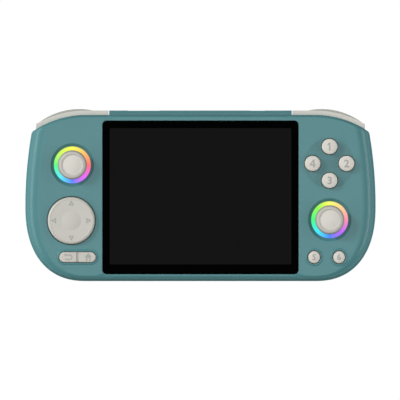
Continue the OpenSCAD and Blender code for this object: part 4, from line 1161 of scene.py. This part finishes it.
# %% Finishes of the inner pieces
finishes = [
    (BOARD, ["main_board", "top_switch_board", *(f"{side}_light_board" for side in BOTH)]),
    (INNER, ["direction_post", "shoulder_switches", "headphone_socket"]),
    (INNER, [f"{side}_speaker" for side in BOTH]),
    (INNER, [f"{side}_stick_{part}" for side in BOTH for part in ("collar", "ring", "base")]),
    (STEEL, ["bumper_pins", "trigger_pins", "usb_port", "card_slot"]),
    (STEEL, [f"{side}_{part}" for side in BOTH for part in ("stick_shaft", "trigger_spring")]),
    (ALUMINIUM, ["heat_spreader"]),
    (FOAM, ["glass_seal"]),
    (DISPLAY, ["display_panel"]),
    (POUCH, ["battery"]),
    (NYLON, ["direction_pivot"]),
]
for material, nodes in finishes:
    for node in nodes:
        coat(frame["nodes"][node].data, material)
print("inner pieces with a finish:", sum(len(nodes) for _, nodes in finishes))

# %% [markdown]
# ## Stage
#
# The camera looks straight down, far enough away that the console hardly shows its sides. One large soft
# lamp stands at the upper left, as in a catalogue picture. Two low strip lamps beside the console draw a
# soft bright line along its rolled ends, and an even world fills the shadows. Straight above the world is
# brighter, like a softbox: faces that look up get a pale sheen from it, and faces that roll away show their
# own, deeper colour. The floor is white where it is seen directly, in a mirror or through glass, and it
# keeps a share of real shading, so the console still casts a faint shadow on it. Below the horizon the
# world is the same white, so a low view has no edge where the floor ends.

# %% Camera and lamps
LENS, SENSOR, FRAME_W = 1000, 36, 210.14
AIM_X, AIM_Y = -0.25, -2.6
STRIP = 1.2
scene = bpy.context.scene
scene.view_settings.view_transform = "Standard"
eye = bpy.data.cameras.new("camera")
eye.lens, eye.sensor_width, eye.clip_end = LENS, SENSOR, 20
scene.camera = linked("camera", eye)
scene.camera.location = (AIM_X * MM, AIM_Y * MM, (PART_Z + FRAME_W * LENS / SENSOR) * MM)


def soft_lamp(name, place, size, watts, length=None):
    lamp = bpy.data.lights.new(name, "AREA")
    lamp.shape, lamp.size, lamp.energy = "RECTANGLE" if length else "DISK", length or size, watts
    lamp.size_y = size
    holder = linked(name, lamp)
    holder.location = place
    holder.rotation_euler = (-Vector(place)).to_track_quat("-Z", "Y").to_euler()


soft_lamp("key_lamp", (-3.2, 1.7, 1.65), 0.8, 86)
soft_lamp("edge_lamp", (-1.2, 0.0, 0.44), 0.3, 6.0, STRIP)
soft_lamp("rim_lamp", (1.2, 0.0, 0.5), 0.3, 6.6, STRIP)
print("camera and", len(bpy.data.lights), "lamps ready")


# %% Even world
WHITE = linear("#ffffff")
SKY, SKY_RISE = 0.2, 0.36
PANEL = {"From Min": 0.8, "From Max": 0.94, "To Min": 0.0, "To Max": 1.75}


def seen_directly(tree, share):
    rays = add(tree, "ShaderNodeLightPath").outputs
    seen = maths(tree, "MAXIMUM", rays["Is Camera Ray"], rays["Is Transmission Ray"])
    return maths(tree, "MULTIPLY", maths(tree, "MAXIMUM", seen, rays["Is Glossy Ray"]), share)


world = bpy.data.worlds.new("even_studio")
scene.world = world
world.use_nodes = True
tree = world.node_tree
tree.nodes.clear()
way = add(tree, "ShaderNodeTexCoord")
upward = add(tree, "ShaderNodeSeparateXYZ", {}, {0: way.outputs["Generated"]}).outputs["Z"]
low = maths(tree, "MULTIPLY", maths(tree, "LESS_THAN", upward, 0.0), seen_directly(tree, 1.0))
height = maths(tree, "POWER", maths(tree, "MAXIMUM", upward, 0.0), 2.0)
panel = add(tree, "ShaderNodeMapRange", {"interpolation_type": "SMOOTHSTEP", **PANEL}, {"Value": height})
level = maths(tree, "ADD", maths(tree, "MULTIPLY_ADD", height, SKY_RISE, SKY), panel.outputs["Result"])
even = add(tree, "ShaderNodeBackground", {"Color": WHITE}, {"Strength": level})
white = add(tree, "ShaderNodeBackground", {"Color": WHITE, "Strength": 1.0})
mixed = add(tree, "ShaderNodeMixShader", {}, {0: low, 1: even.outputs[0], 2: white.outputs[0]})
add(tree, "ShaderNodeOutputWorld", {}, {"Surface": mixed.outputs[0]})
print("world has", len(tree.nodes), "nodes")

# %% White floor
FLOOR_HALF, FLOOR_SHARE, FLOOR_GLOW = 1.5, 0.95, 1.05
paper = bpy.data.materials.new("white_paper")
paper.use_nodes = True
tree = paper.node_tree
tree.nodes.clear()
share = seen_directly(tree, FLOOR_SHARE)
matt = add(tree, "ShaderNodeBsdfDiffuse", {"Color": linear("#8c8c8c")})
glow = add(tree, "ShaderNodeEmission", {"Color": WHITE, "Strength": FLOOR_GLOW})
mixed = add(tree, "ShaderNodeMixShader", {}, {0: share, 1: matt.outputs[0], 2: glow.outputs[0]})
add(tree, "ShaderNodeOutputMaterial", {}, {"Surface": mixed.outputs[0]})
sheet = bpy.data.meshes.new("floor")
sides = ((-1, -1), (1, -1), (1, 1), (-1, 1))
sheet.from_pydata([(x * FLOOR_HALF, y * FLOOR_HALF, 0) for x, y in sides], [], [(0, 1, 2, 3)])
sheet.materials.append(paper)
floor = linked("floor", sheet)
print("floor is", 2 * FLOOR_HALF, "m wide")
